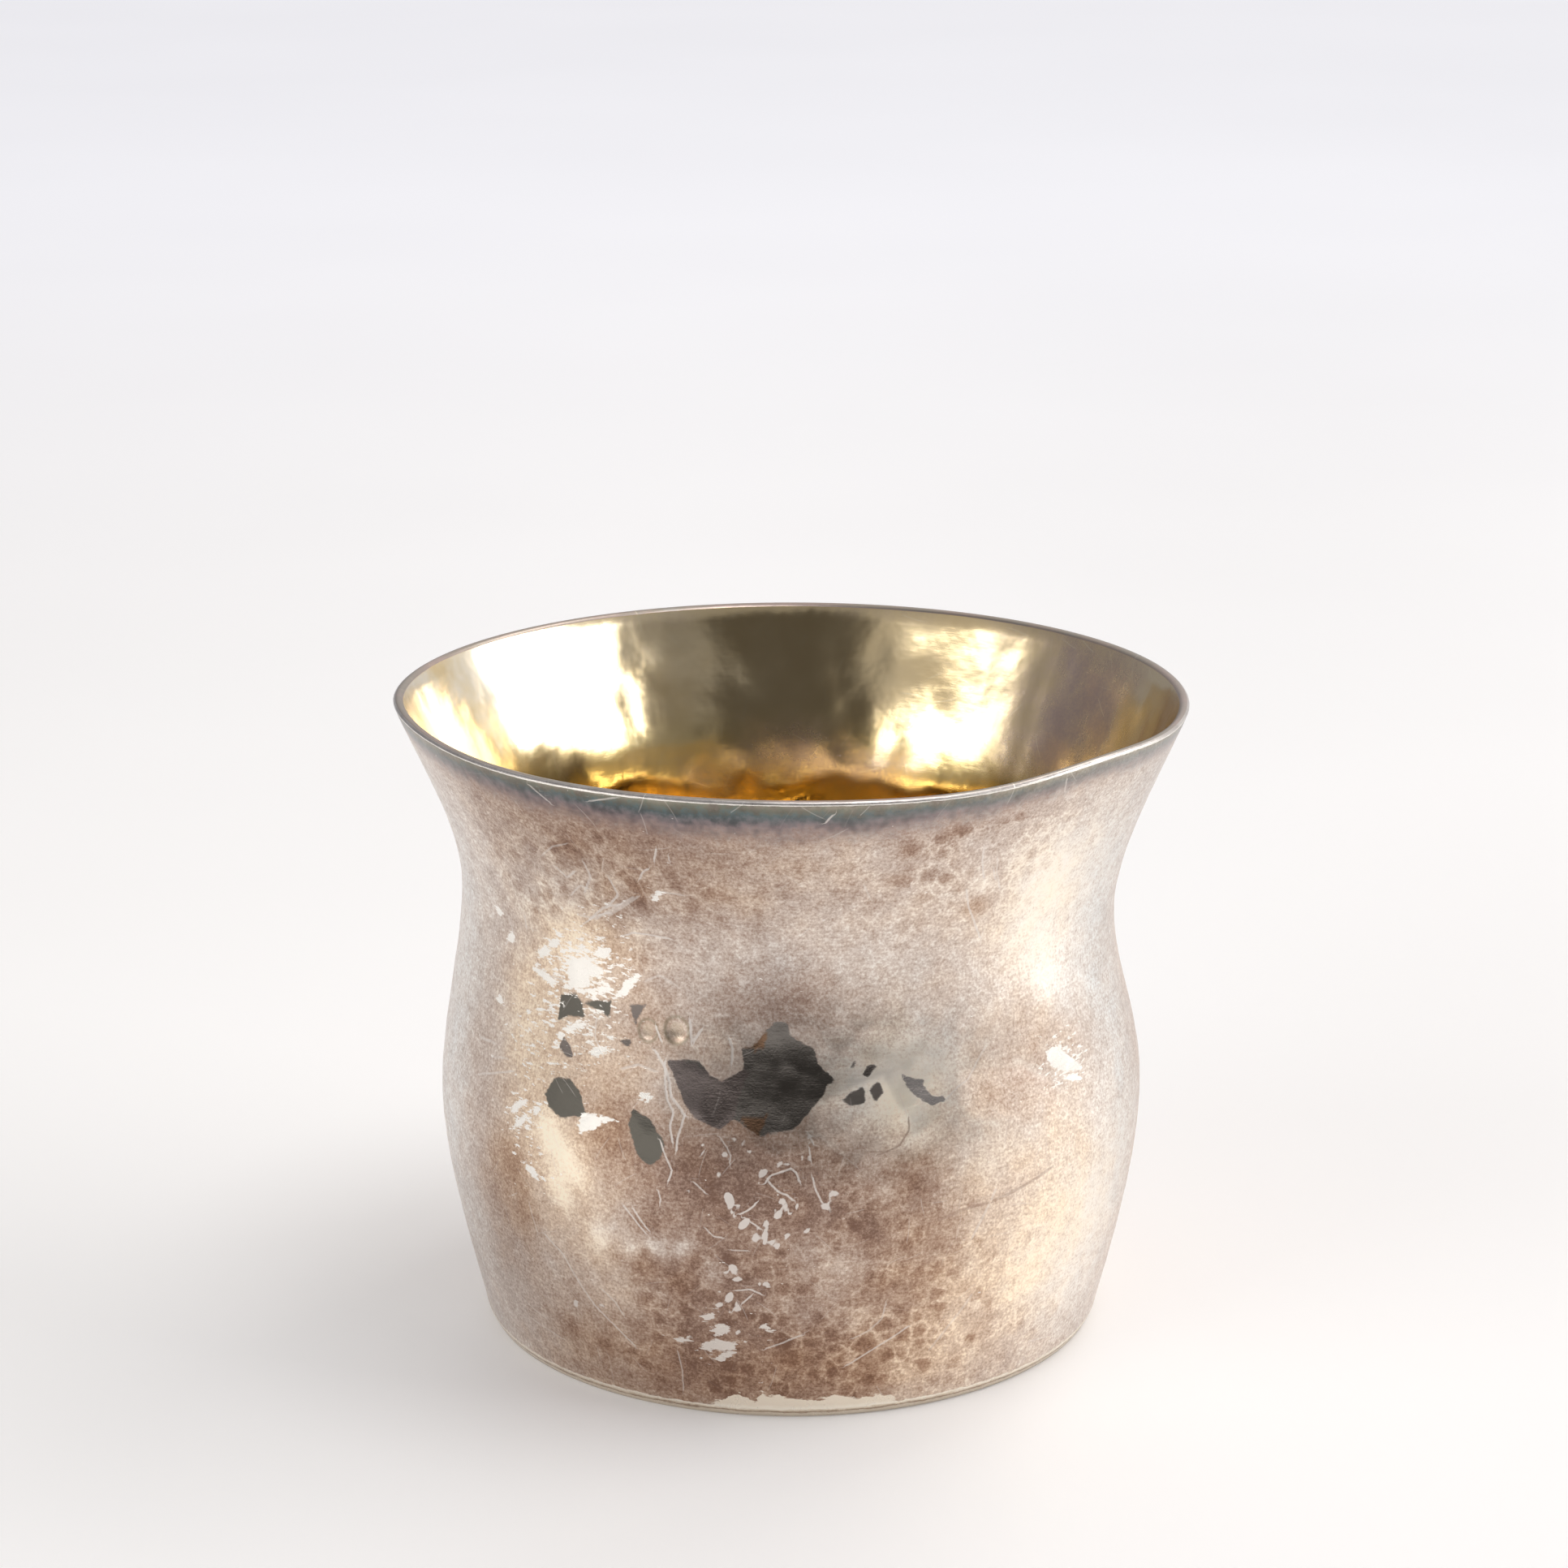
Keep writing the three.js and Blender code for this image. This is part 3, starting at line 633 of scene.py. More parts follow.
def drop_distance(angles, heights):
    """Distance to the nearest drop. Each is an oval of its own, with a speck or two beside it."""
    nearest = np.full((len(heights), len(angles)), MARK_REACH)
    for at, height, size in BARE_DROPS:
        lean, long = rng.uniform(0.0, math.pi), rng.uniform(1.0, 1.45)
        beside, far = rng.uniform(0.0, 2 * math.pi, 2), rng.uniform(1.4, 2.6, 2) * size
        cells, x, y, flat = near_path(angles, heights, ((at, height),), MARK_REACH)
        x, y = x - flat[0][0], y - flat[0][1]
        turned_x = x * math.cos(lean) + y * math.sin(lean)
        turned_y = y * math.cos(lean) - x * math.sin(lean)
        away = np.hypot(turned_x / long, turned_y * long) - size
        for turn, reach in zip(beside, far):
            speck = np.hypot(x - reach * math.cos(turn), y - reach * math.sin(turn)) - 0.38 * size
            away = np.minimum(away, speck)
        nearest[cells] = np.minimum(nearest[cells], away)
    return nearest


def oxide_and_reflection_layers(angles, heights):
    """Distance to the nearest dark patch, and its shade."""
    nearest = np.full((len(heights), len(angles)), MARK_REACH)
    shade = np.full(nearest.shape, 0.5)
    for tone, outline in OXIDE_AND_REFLECTION_PATCHES:
        cells, away = outline_distance(angles, heights, outline)
        closer = away < nearest[cells]
        shade[cells] = np.where(closer, tone, shade[cells])
        nearest[cells] = np.where(closer, away, nearest[cells])
    for tone, outline in OXIDE_AND_REFLECTION_SHADES:
        cells, away = outline_distance(angles, heights, outline)
        shade[cells] = np.where(away < 0.0, tone, shade[cells])
    return nearest, shade


def line_layers(angles, heights):
    """Pairs of layers. One says how many half widths a point lies to one side of the nearest line, the other
    how strong that line is. Lines that lie close together go into different pairs."""
    sides = np.full((LINE_SETS, len(heights), len(angles)), NO_MARK)
    strengths = np.zeros_like(sides)
    for half_width, strength, path in LINES:
        reach = 0.5 + half_width
        cells, x, y, flat = near_path(angles, heights, path, reach)
        away = np.full(np.broadcast(x, y).shape, NO_MARK)
        side = np.ones(away.shape)
        for start, end in zip(flat[:-1], flat[1:]):
            here, hand = step_distance(x, y, start, end)
            side = np.where(here < away, hand, side)
            away = np.minimum(away, here)
        close = np.clip(1.0 - away / reach, 0.0, 1.0)
        overlap = [np.sum((layer[cells] != 0.0) & (close > 0.0)) for layer in strengths]
        k = int(np.argmin(overlap))
        wins = close * abs(strength) > np.abs(strengths[k][cells])
        sides[k][cells] = np.where(wins, side * away / half_width, sides[k][cells])
        strengths[k][cells] = np.where(wins, close * strength, strengths[k][cells])
    return sides, strengths


def grid_faces(rows, columns, start):
    low = start + np.arange(rows - 1)[:, None] * columns + np.arange(columns)[None, :]
    side = start + np.arange(rows - 1)[:, None] * columns + (np.arange(columns)[None, :] + 1) % columns
    return np.stack((low, side, side + columns, low + columns), -1).reshape(-1, 4)


def stitch(first, first_angles, second, second_angles):
    """Triangles between two rings of points whose columns differ."""
    faces = []
    i = j = 0
    first_ends = np.append(first_angles[1:], math.pi)
    second_ends = np.append(second_angles[1:], math.pi)
    while i < len(first) or j < len(second):
        if j == len(second) or (i < len(first) and first_ends[i] <= second_ends[j]):
            faces.append((first[i], first[(i + 1) % len(first)], second[j % len(second)]))
            i += 1
        else:
            faces.append((first[i % len(first)], second[(j + 1) % len(second)], second[j]))
            j += 1
    return np.array(faces)


def shape_skin(rows, angles, relief):
    radius, height, out_r, out_z, _ = rows.T
    full_r = radius[:, None] + relief * out_r[:, None]
    full_z = height[:, None] + relief * out_z[:, None]
    x, y, z = uneven_handwork(full_r * np.sin(angles), -full_r * np.cos(angles), full_z + 0.0 * angles)
    return np.stack((x, y, z), -1).reshape(-1, 3)


def outside_relief(rows, angles, along, below_lip):
    _, height, _, _, region = rows.T
    wall = np.nonzero(region == OUTSIDE)[0]
    up = height[wall]
    relief = np.zeros((len(rows), len(angles)))
    relief[wall] -= hammer_blows(along[wall], rows[wall, 0], angles, *OUTSIDE_BLOWS)
    for _ in range(BROAD_DENTS):
        at, middle = rng.uniform(-180, 180), rng.uniform(4, 54)
        size, push = rng.uniform(4.0, 8.0), rng.uniform(0.03, 0.10)
        relief[wall] -= push * soft_spot(angles, up, at, middle, math.degrees(size / SURFACE_RADIUS), size)
    for at, middle, size, push in PUNCH_MARKS:
        across = wrapped(angles - math.radians(at)) * SURFACE_RADIUS
        far = np.hypot(across[None, :], up[:, None] - middle) / size
        relief[wall] -= push * np.clip(1.0 - far**2, 0.0, 1.0)
        relief[wall] += 0.25 * push * np.exp(-(((far - 1.12) / 0.14) ** 2))
    keep = smooth_step(below_lip, 0.3, 2.5) * smooth_step(height + 99 * (region >= RIM), 0.9, 2.4)
    return relief * keep[:, None]


def inside_relief(rows, angles, along):
    relief = -hammer_blows(along, rows[:, 0], angles, *INSIDE_BLOWS)
    relief -= hammer_blows(along, rows[:, 0], angles, *INSIDE_FINE_BLOWS)
    relief -= relief.mean()
    strength = smooth_step(along, 0.2, 2.0) * (1.0 + 1.4 * smooth_step(along, 11.0, 22.0))
    return relief * strength[:, None]


def punch_layer(angles, heights):
    """How near a point is to the middle of a punch mark: 0.3 at its edge, 1.3 in its middle."""
    total = np.zeros((len(heights), len(angles)))
    for at, middle, size, _ in PUNCH_MARKS:
        across = wrapped(angles - math.radians(at)) * SURFACE_RADIUS
        far = np.hypot(across[None, :], heights[:, None] - middle) / size
        total = np.maximum(total, 1.3 - far)
    return np.clip(total, 0.0, 1.3)


def make_cup():
    outer, inner = outer_profile(), inner_profile()
    outer_angles = outer_columns()
    inner_angles = np.linspace(-math.pi, math.pi, INSIDE_COLUMNS, endpoint=False)
    steps = np.hypot(np.diff(np.concatenate((outer[:, 0], inner[:, 0]))),
                     np.diff(np.concatenate((outer[:, 1], inner[:, 1]))))
    along = np.concatenate(([0.0], np.cumsum(steps)))
    outer_along, inner_along = along[:len(outer)], along[len(outer):]
    region = outer[:, 4]
    wall_top = np.nonzero(region == OUTSIDE)[0][-1]
    below_lip = np.abs(outer_along - outer_along[wall_top])
    inner_below = inner_along - inner_along[0]

    outer_relief = outside_relief(outer, outer_angles, outer_along, below_lip)
    inner_relief = inside_relief(inner, inner_angles, inner_below)
    outer_points = shape_skin(outer, outer_angles, outer_relief)
    inner_points = shape_skin(inner, inner_angles, inner_relief)
    middles = np.array(((0, 0, DOME_RISE), (0, 0, DOME_RISE + FLOOR)))
    points = np.concatenate((outer_points, inner_points, middles)) * MM

    across, within = len(outer_angles), len(inner_angles)
    inner_start = len(outer_points)
    last_outer = np.arange(across) + (len(outer) - 1) * across
    last_inner = np.arange(within) + inner_start + (len(inner) - 1) * within
    bottom, top = len(points) - 2, len(points) - 1
    quads = np.concatenate((grid_faces(len(outer), across, 0), grid_faces(len(inner), within, inner_start)))
    lip_faces = stitch(last_outer, outer_angles, np.arange(within) + inner_start, inner_angles)
    under = np.stack((np.full(across, bottom), np.roll(np.arange(across), -1), np.arange(across)), -1)
    floor = np.stack((np.full(within, top), last_inner, np.roll(last_inner, -1)), -1)
    triangles = np.concatenate((lip_faces, under, floor))
    mesh = bpy.data.meshes.new("cup_body")
    mesh.from_pydata(points.tolist(), [], quads.tolist() + triangles.tolist())
    mesh.shade_smooth()

    outer_slots = np.where(np.arange(len(outer) - 1) < wall_top, TARNISHED, BARE_LIP)
    outer_slots[wall_top + 3:] = GILDED  # the gilding reaches over the inner part of the lip's edge
    slots = np.concatenate((
        np.repeat(outer_slots, across), np.full((len(inner) - 1) * within, GILDED),
        np.full(len(lip_faces), GILDED), np.full(across, TARNISHED), np.full(within, GILDED)))
    mesh.polygons.foreach_set("material_index", slots)

    # Two maps: one flat sheet for the whole skin, and one in millimetres along the wall.
    # The middles of underside and floor lie a little past the two ends of the profile.
    before, after = 5.0, 2.5
    ends = (-before, along[-1] + after)
    turn = np.concatenate((np.tile(outer_angles, len(outer)), np.tile(inner_angles, len(inner)), (0.0, 0.0)))
    run = np.concatenate((np.repeat(outer_along, across), np.repeat(inner_along, within), ends))
    level = np.concatenate((np.repeat(outer[:, 1], across), np.repeat(inner[:, 1], within), (-1.0, -1.0)))
    turns = []
    for faces in (quads, triangles):
        corner = turn[faces]
        fan = faces[:, 0] >= bottom
        if fan.any():
            corner[fan, 0] = corner[fan, 1]
        corner = np.where(corner < corner.max(1, keepdims=True) - math.pi, corner + 2 * math.pi, corner)
        turns.append(corner.ravel())
    turns = np.concatenate(turns)
    corners = np.concatenate((quads.ravel(), triangles.ravel()))
    rise = (run[corners] + before) / (along[-1] + (before + after))
    sheet = np.stack(((turns + math.pi) / (2 * math.pi), rise), -1)
    flat = np.stack((turns * SURFACE_RADIUS, level[corners]), -1)
    for name, places in (("OFBake", sheet), ("surface", flat)):
        mesh.uv_layers.new(name=name).data.foreach_set("uv", places.ravel())
    mesh.uv_layers["OFBake"].active = True

    # What the finishes read from the surface
    up = np.where((region == OUTSIDE) | (region == BAND), outer[:, 1], OFF_WALL)
    oxide_edge, oxide_shade = oxide_and_reflection_layers(outer_angles, up)
    line_sides, line_strengths = line_layers(outer_angles, up)
    tones = [spot[:5] for spot in TONE_AND_LIGHT_SPOTS]
    warmths = [(*spot[:4], spot[5]) for spot in TONE_AND_LIGHT_SPOTS]
    nothing = np.zeros((len(outer), across))
    # The dark band below the lip is widest and strongest a little to the left of the front
    front_left = soft_spot(outer_angles, np.zeros(len(outer)), -14, 0, 42, 1)
    outside = {
        "below_lip": nothing + below_lip[:, None],
        "wall_height": nothing + np.maximum(up, 0.0)[:, None],
        "brown": PLAIN_BROWN + add_spots(outer_angles, up, tones),
        "warmth": add_spots(outer_angles, up, warmths),
        "mottle": PLAIN_MOTTLE + add_spots(outer_angles, up, MOTTLE_SPOTS),
        "lip_band": nothing + 0.62 + 0.38 * front_left,
        "band_depth": below_lip[:, None] * (1.8 - 0.8 * front_left),
        "oxide_edge": oxide_edge,
        "oxide_shade": oxide_shade,
        "bare_edge": nearest_outline(outer_angles, up, BARE_FLECKS),
        "drop_edge": drop_distance(outer_angles, up),
        "dried_edge": nearest_outline(outer_angles, up, DRIED_FILMS),
        "punch": punch_layer(outer_angles, up),
        "rubbed": add_spots(outer_angles, up, RUBBED_SPOTS),
        # Painted shade: the gilded part of the lip's rounding is darkened to purple-grey so it reads as a
        # shaded inner edge
        "stain": nothing + 0.6 * (region == RIM)[:, None],
    }
    for k in range(LINE_SETS):
        outside["line_side_%d" % k] = line_sides[k]
        outside["line_strength_%d" % k] = line_strengths[k]
    empty = np.zeros((len(inner), within))
    inside = {
        "below_lip": empty + inner_below[:, None],
        "stain": add_spots(inner_angles, inner_below, STAIN_SPOTS),
        "thin": np.clip(add_spots(inner_angles, inner_below, THIN_SPOTS), 0.0, 1.0),
    }
    for name in sorted(set(outside) | set(inside)):
        skins = outside.get(name, nothing), inside.get(name, empty)
        values = np.concatenate((skins[0].ravel(), skins[1].ravel(), (MARK_REACH, 0.0)))
        layer = mesh.attributes.new(name, "FLOAT", "POINT")
        layer.data.foreach_set("value", values.astype(np.float32))
    cup = bpy.data.objects.new("cup_body", mesh)
    bpy.context.scene.collection.objects.link(cup)
    return cup


class Finish:
    """Adds shading nodes to one tree. A value is a plain number, a colour, or another node's output."""

    def __init__(self, tree):
        self.tree = tree

    def add(self, kind, **settings):
        node = self.tree.nodes.new("ShaderNode" + kind)
        for name, value in settings.items():
            setattr(node, name, value)
        return node

    def feed(self, socket, value):
        if isinstance(value, bpy.types.NodeSocket):
            self.tree.links.new(value, socket)
        elif isinstance(value, tuple) and len(value) == 3 and socket.type == "RGBA":
            socket.default_value = (*value, 1.0)
        else:
            socket.default_value = value

    def math(self, operation, *values, clamp=False):
        node = self.add("Math", operation=operation, use_clamp=clamp)
        for socket, value in zip(node.inputs, values):
            self.feed(socket, value)
        return node.outputs[0]

    def sway(self, value, noise, amount):
        """A value moved up and down by a noise."""
        return self.math("MULTIPLY_ADD", self.math("SUBTRACT", noise, 0.5), amount, value)

    def fade(self, value, low, high, first=0.0, last=1.0):
        node = self.add("MapRange", interpolation_type="SMOOTHSTEP")
        for socket, given in zip(node.inputs, (value, low, high, first, last)):
            self.feed(socket, given)
        return node.outputs[0]

    def blend(self, share, first, second, kind="MIX"):
        node = self.add("Mix", data_type="RGBA", blend_type=kind)
        for index, given in ((0, share), (6, first), (7, second)):
            self.feed(node.inputs[index], given)
        return node.outputs[2]

    def surface(self, name):
        return self.add("Attribute", attribute_name=name).outputs["Fac"]

    def place(self):
        return self.add("TexCoord").outputs["Object"]

    def wall_sheet(self):
        return self.add("UVMap", uv_map="surface").outputs[0]

    def stretched(self, place, scale):
        node = self.add("Mapping")
        self.feed(node.inputs["Vector"], place)
        node.inputs["Scale"].default_value = scale
        return node.outputs[0]

    def noise(self, place, scale, detail=3.0, rough=0.55):
        node = self.add("TexNoise")
        for name, given in (("Vector", place), ("Scale", scale), ("Detail", detail), ("Roughness", rough)):
            self.feed(node.inputs[name], given)
        return node.outputs[0]

    def ramp(self, value, stops):
        node = self.add("ValToRGB")
        self.feed(node.inputs[0], value)
        marks = node.color_ramp.elements
        while len(marks) < len(stops):
            marks.new(0.5)
        for mark, (position, colour) in zip(marks, stops):
            mark.position = position
            mark.color = (*colour, 1.0)
        return node.outputs[0]

    def bump(self, height, strength, distance):
        node = self.add("Bump")
        node.inputs["Strength"].default_value = strength
        node.inputs["Distance"].default_value = distance
        self.feed(node.inputs["Height"], height)
        return node.outputs[0]

    def wear(self, group):
        node = self.add("Group", node_tree=group)
        self.feed(node.inputs["Place"], self.place())
        self.feed(node.inputs["Sheet"], self.wall_sheet())
        return node.outputs["Grain"], node.outputs["Polish"], node.outputs["Scratches"]


def worn_metal():
    """Grain, fine level polishing lines and short stray scratches, for every finish of the cup."""
    tree = bpy.data.node_groups.new("worn_metal", "ShaderNodeTree")
    for name in ("Place", "Sheet"):
        tree.interface.new_socket(name, in_out="INPUT", socket_type="NodeSocketVector")
    for name in ("Grain", "Polish", "Scratches"):
        tree.interface.new_socket(name, in_out="OUTPUT", socket_type="NodeSocketFloat")
    given = tree.nodes.new("NodeGroupInput")
    out = tree.nodes.new("NodeGroupOutput")
    paint = Finish(tree)
    place, sheet = given.outputs["Place"], given.outputs["Sheet"]
    paint.feed(out.inputs["Grain"], paint.noise(place, 3600.0, 2.5, 0.75))
    paint.feed(out.inputs["Polish"], paint.noise(paint.stretched(place, (1.0, 1.0, 7.0)), 620.0, 2.0, 0.6))
    cells = paint.add("TexVoronoi", voronoi_dimensions="2D")
    paint.feed(cells.inputs["Vector"], sheet)
    cells.inputs["Scale"].default_value = 0.42
    chance = paint.add("SeparateColor")
    paint.feed(chance.inputs[0], cells.outputs["Color"])
    offset = paint.add("VectorMath", operation="SUBTRACT")
    paint.feed(offset.inputs[0], sheet)
    paint.feed(offset.inputs[1], cells.outputs["Position"])
    turned = paint.add("VectorRotate", rotation_type="Z_AXIS")
    paint.feed(turned.inputs["Vector"], offset.outputs[0])
    paint.feed(turned.inputs["Angle"], paint.math("MULTIPLY", chance.outputs[0], 6.28))
    part = paint.add("SeparateXYZ")
    paint.feed(part.inputs[0], turned.outputs[0])
    bent = paint.math("MULTIPLY_ADD", paint.math("POWER", part.outputs[0], 2.0), 0.05, part.outputs[1])
    line = paint.fade(paint.math("ABSOLUTE", bent), 0.07, 0.02)
    length = paint.fade(paint.math("ABSOLUTE", part.outputs[0]), 1.6, 0.8)
    shown = paint.math("MULTIPLY", line, length)
    shown = paint.math("MULTIPLY", shown, paint.fade(chance.outputs[1], 0.45, 0.95))
    paint.feed(out.inputs["Scratches"], shown)
    return tree


def new_material(name):
    material = bpy.data.materials.new(name)
    material.use_nodes = True
    shader = next(n for n in material.node_tree.nodes if n.type == "BSDF_PRINCIPLED")
    shader.inputs["Metallic"].default_value = 1.0
    return material, Finish(material.node_tree), shader


def tarnished_silver(wear):
    material, paint, shader = new_material("tarnished_silver")
    place = paint.place()
    grain, polish, scratches = paint.wear(wear)
    cloud = paint.noise(place, 130.0, 4.0, 0.6)
    speck = paint.noise(place, 900.0, 3.0, 0.7)
    hue = paint.noise(place, 250.0, 2.0, 0.6)

    # Hammer marks: round spots, some browner and some paler, with pale veins between them
    bend = paint.add("VectorMath", operation="MULTIPLY_ADD")
    wobble = paint.add("TexNoise")
    paint.feed(wobble.inputs["Vector"], place)
    wobble.inputs["Scale"].default_value = 620.0
    paint.feed(bend.inputs[0], wobble.outputs["Color"])
    bend.inputs[1].default_value = (TARNISH_WANDER,) * 3
    paint.feed(bend.inputs[2], place)
    cells = paint.add("TexVoronoi")
    paint.feed(cells.inputs["Vector"], bend.outputs[0])
    cells.inputs["Scale"].default_value = TARNISH_CELLS
    chance = paint.add("SeparateColor")
    paint.feed(chance.inputs[0], cells.outputs["Color"])
    spot = paint.fade(cells.outputs["Distance"], 0.8, 0.05)
    spot = paint.math("MULTIPLY", spot, paint.math("SUBTRACT", chance.outputs[0], 0.4))
    borders = paint.add("TexVoronoi", feature="DISTANCE_TO_EDGE")
    paint.feed(borders.inputs["Vector"], bend.outputs[0])
    borders.inputs["Scale"].default_value = TARNISH_CELLS
    away = paint.sway(borders.outputs["Distance"], speck, 0.16)
    vein = paint.math("MULTIPLY_ADD", paint.fade(away, 0.12, 0.0), 0.4, paint.fade(away, 0.28, 0.0))
    vein = paint.math("MULTIPLY", vein, paint.fade(hue, 0.36, 0.6))

    tone = paint.sway(paint.surface("brown"), cloud, 0.34)
    marks = paint.math("MULTIPLY_ADD", vein, -0.36, spot)
    marks = paint.math("MULTIPLY", marks, paint.surface("mottle"))
    tone = paint.math("MULTIPLY_ADD", marks, 0.46, tone)
    tone = paint.sway(tone, speck, 0.42)
    tone = paint.sway(tone, polish, 0.3)
    tone = paint.sway(tone, grain, 0.98)

    # A film that dried with an edge is greyer, with a pale rim
    dried = paint.sway(paint.surface("dried_edge"), speck, 0.8)
    dried = paint.sway(dried, cloud, 1.6)
    dried_share = paint.fade(dried, 0.3, -0.5)
    tone = paint.math("MULTIPLY_ADD", dried_share, 0.05, tone)
    pale_edge = paint.fade(paint.math("ABSOLUTE", paint.math("SUBTRACT", dried, 0.3)), 0.7, 0.0)
    pale_edge = paint.math("MULTIPLY", pale_edge, paint.fade(cloud, 0.4, 0.6))
    tone = paint.math("MULTIPLY_ADD", pale_edge, -0.14, tone)
    film = paint.ramp(paint.fade(tone, -0.15, 1.25), (
        (0.0, (0.97, 0.925, 0.86)),
        (0.04, (0.93, 0.875, 0.80)),
        (0.28, (0.70, 0.60, 0.525)),
        (0.56, (0.505, 0.392, 0.325)),
        (0.80, (0.355, 0.243, 0.188)),
        (1.0, (0.20, 0.12, 0.09)),
    ))
    warmth = paint.sway(paint.surface("warmth"), hue, 1.3)
    tint = paint.ramp(paint.math("MULTIPLY_ADD", warmth, 0.5, 0.56), (
        (0.0, (0.90, 0.97, 1.04)),
        (0.5, (1.0, 1.0, 1.0)),
        (1.0, (1.08, 0.98, 0.84)),
    ))
    film = paint.blend(1.0, film, tint, "MULTIPLY")

    # Below the lip the tarnish runs from olive over teal to purple
    below = paint.surface("below_lip")
    wavy = paint.sway(paint.sway(paint.surface("band_depth"), cloud, 2.2), speck, 2.6)
    band = paint.ramp(paint.math("DIVIDE", wavy, 8.0), (
        (0.0, (0.29, 0.275, 0.225)),
        (0.06, (0.17, 0.18, 0.145)),
        (0.15, (0.085, 0.13, 0.14)),
        (0.30, (0.165, 0.145, 0.165)),
        (0.6, (0.36, 0.27, 0.25)),
    ))
    speckle = paint.blend(paint.fade(speck, 0.3, 0.7), (0.62, 0.58, 0.60), (1.4, 1.4, 1.36))
    band = paint.blend(1.0, band, speckle, "MULTIPLY")
    band_share = paint.math("MULTIPLY", paint.fade(wavy, 1.4, 5.6, 0.92, 0.0), paint.surface("lip_band"))
    film = paint.blend(band_share, film, band)

    # Dark patches, and bare metal: flecks, rubbed streaks, drops, the corner of the base and the lip
    ragged = paint.noise(paint.stretched(place, (1.0, 1.0, 3.0)), 900.0, 3.0, 0.65)
    # Dark patches: partly oxide, partly a painted reflection of the dark room that bare silver there mirrors
    oxide_edge = paint.sway(paint.sway(paint.surface("oxide_edge"), ragged, 0.45), speck, 0.3)
    oxide_and_reflection = paint.fade(oxide_edge, 0.08, -0.10)
    bare = paint.fade(paint.sway(paint.surface("bare_edge"), ragged, 1.25), 0.08, -0.03)
    rubbed = paint.math("MULTIPLY_ADD", paint.surface("rubbed"), 0.2, ragged)
    rubbed = paint.math("MULTIPLY_ADD", oxide_and_reflection, -0.1, rubbed)
    bare = paint.math("MAXIMUM", bare, paint.fade(rubbed, 0.72, 0.76))
    drops = paint.fade(paint.sway(paint.surface("drop_edge"), speck, 0.25), 0.04, -0.06)
    up_wall = paint.surface("wall_height")
    base_line = paint.sway(up_wall, ragged, 0.5)
    bare = paint.math("MAXIMUM", bare, paint.fade(base_line, 1.12, 1.0))
    bare = paint.math("MAXIMUM", bare, paint.fade(paint.sway(below, ragged, 0.2), 0.14, 0.06))

    # Scratches and lines
    lines = None
    for k in range(LINE_SETS):
        side = paint.math("ABSOLUTE", paint.sway(paint.surface("line_side_%d" % k), ragged, 2.2))
        drawn = paint.math("MULTIPLY", paint.fade(side, 1.5, 0.6), paint.surface("line_strength_%d" % k))
        lines = drawn if lines is None else paint.math("ADD", lines, drawn)
    pale_line = paint.math("MULTIPLY_ADD", scratches, 0.3, paint.math("MULTIPLY", lines, 1.1), clamp=True)
    drops = paint.math("MAXIMUM", drops, pale_line)
    dark_line = paint.math("MULTIPLY", lines, -1.2, clamp=True)

    # Colour, from the film up to the bare metal
    shade = paint.ramp(paint.surface("oxide_shade"), (
        (0.0, (0.30, 0.165, 0.09)),
        (0.25, (0.225, 0.205, 0.185)),
        (0.5, (0.25, 0.21, 0.195)),
        (0.75, (0.145, 0.135, 0.115)),
        (1.0, (0.48, 0.44, 0.41)),
    ))
    punch = paint.surface("punch")
    ring = paint.fade(paint.math("ABSOLUTE", paint.math("SUBTRACT", punch, 0.3)), 0.25, 0.0)
    bowl = paint.fade(punch, 0.55, 0.85)
    colour = paint.blend(dark_line, film, (0.36, 0.245, 0.19))
    # Painted reflection: the dark patches take near-black oxide shades
    colour = paint.blend(oxide_and_reflection, colour, shade)
    colour = paint.blend(paint.math("MULTIPLY", ring, 0.6), colour, (0.26, 0.22, 0.15))
    base_tone = paint.ramp(paint.math("DIVIDE", base_line, 3.0), (
        (0.06, (0.66, 0.58, 0.48)),
        (0.15, (0.74, 0.65, 0.54)),
        (0.20, (0.34, 0.24, 0.17)),
        (0.25, (0.74, 0.64, 0.51)),
        (0.33, (0.97, 0.91, 0.80)),
        (0.45, (0.88, 0.79, 0.66)),
    ))
    fleck_tone = paint.blend(paint.fade(up_wall, 10.0, 20.0), (0.76, 0.70, 0.64), (0.97, 0.935, 0.87))
    bare_tone = paint.blend(paint.fade(up_wall, 3.2, 2.8), fleck_tone, base_tone)
    colour = paint.blend(paint.math("MULTIPLY", drops, 0.9), colour, (0.78, 0.72, 0.67))
    colour = paint.blend(bare, colour, bare_tone)
    colour = paint.blend(paint.math("MULTIPLY", bowl, 0.5), colour, (0.60, 0.50, 0.38))

    # Polish and fine relief
    rough = paint.sway(0.32, speck, 0.16)
    rough = paint.math("MULTIPLY_ADD", dried_share, 0.15, rough)
    rough = paint.math("MULTIPLY_ADD", oxide_and_reflection, -0.14, rough)
    rough = paint.math("MULTIPLY_ADD", bare, -0.06, rough)
    rough = paint.math("MULTIPLY_ADD", bowl, -0.06, rough)
    height = paint.math("MULTIPLY_ADD", polish, 0.5, grain)
    height = paint.math("MULTIPLY_ADD", pale_line, -0.6, height)
    paint.feed(shader.inputs["Base Color"], colour)
    paint.feed(shader.inputs["Roughness"], rough)
    paint.feed(shader.inputs["Normal"], paint.bump(height, 0.3, 0.00003))
    return material


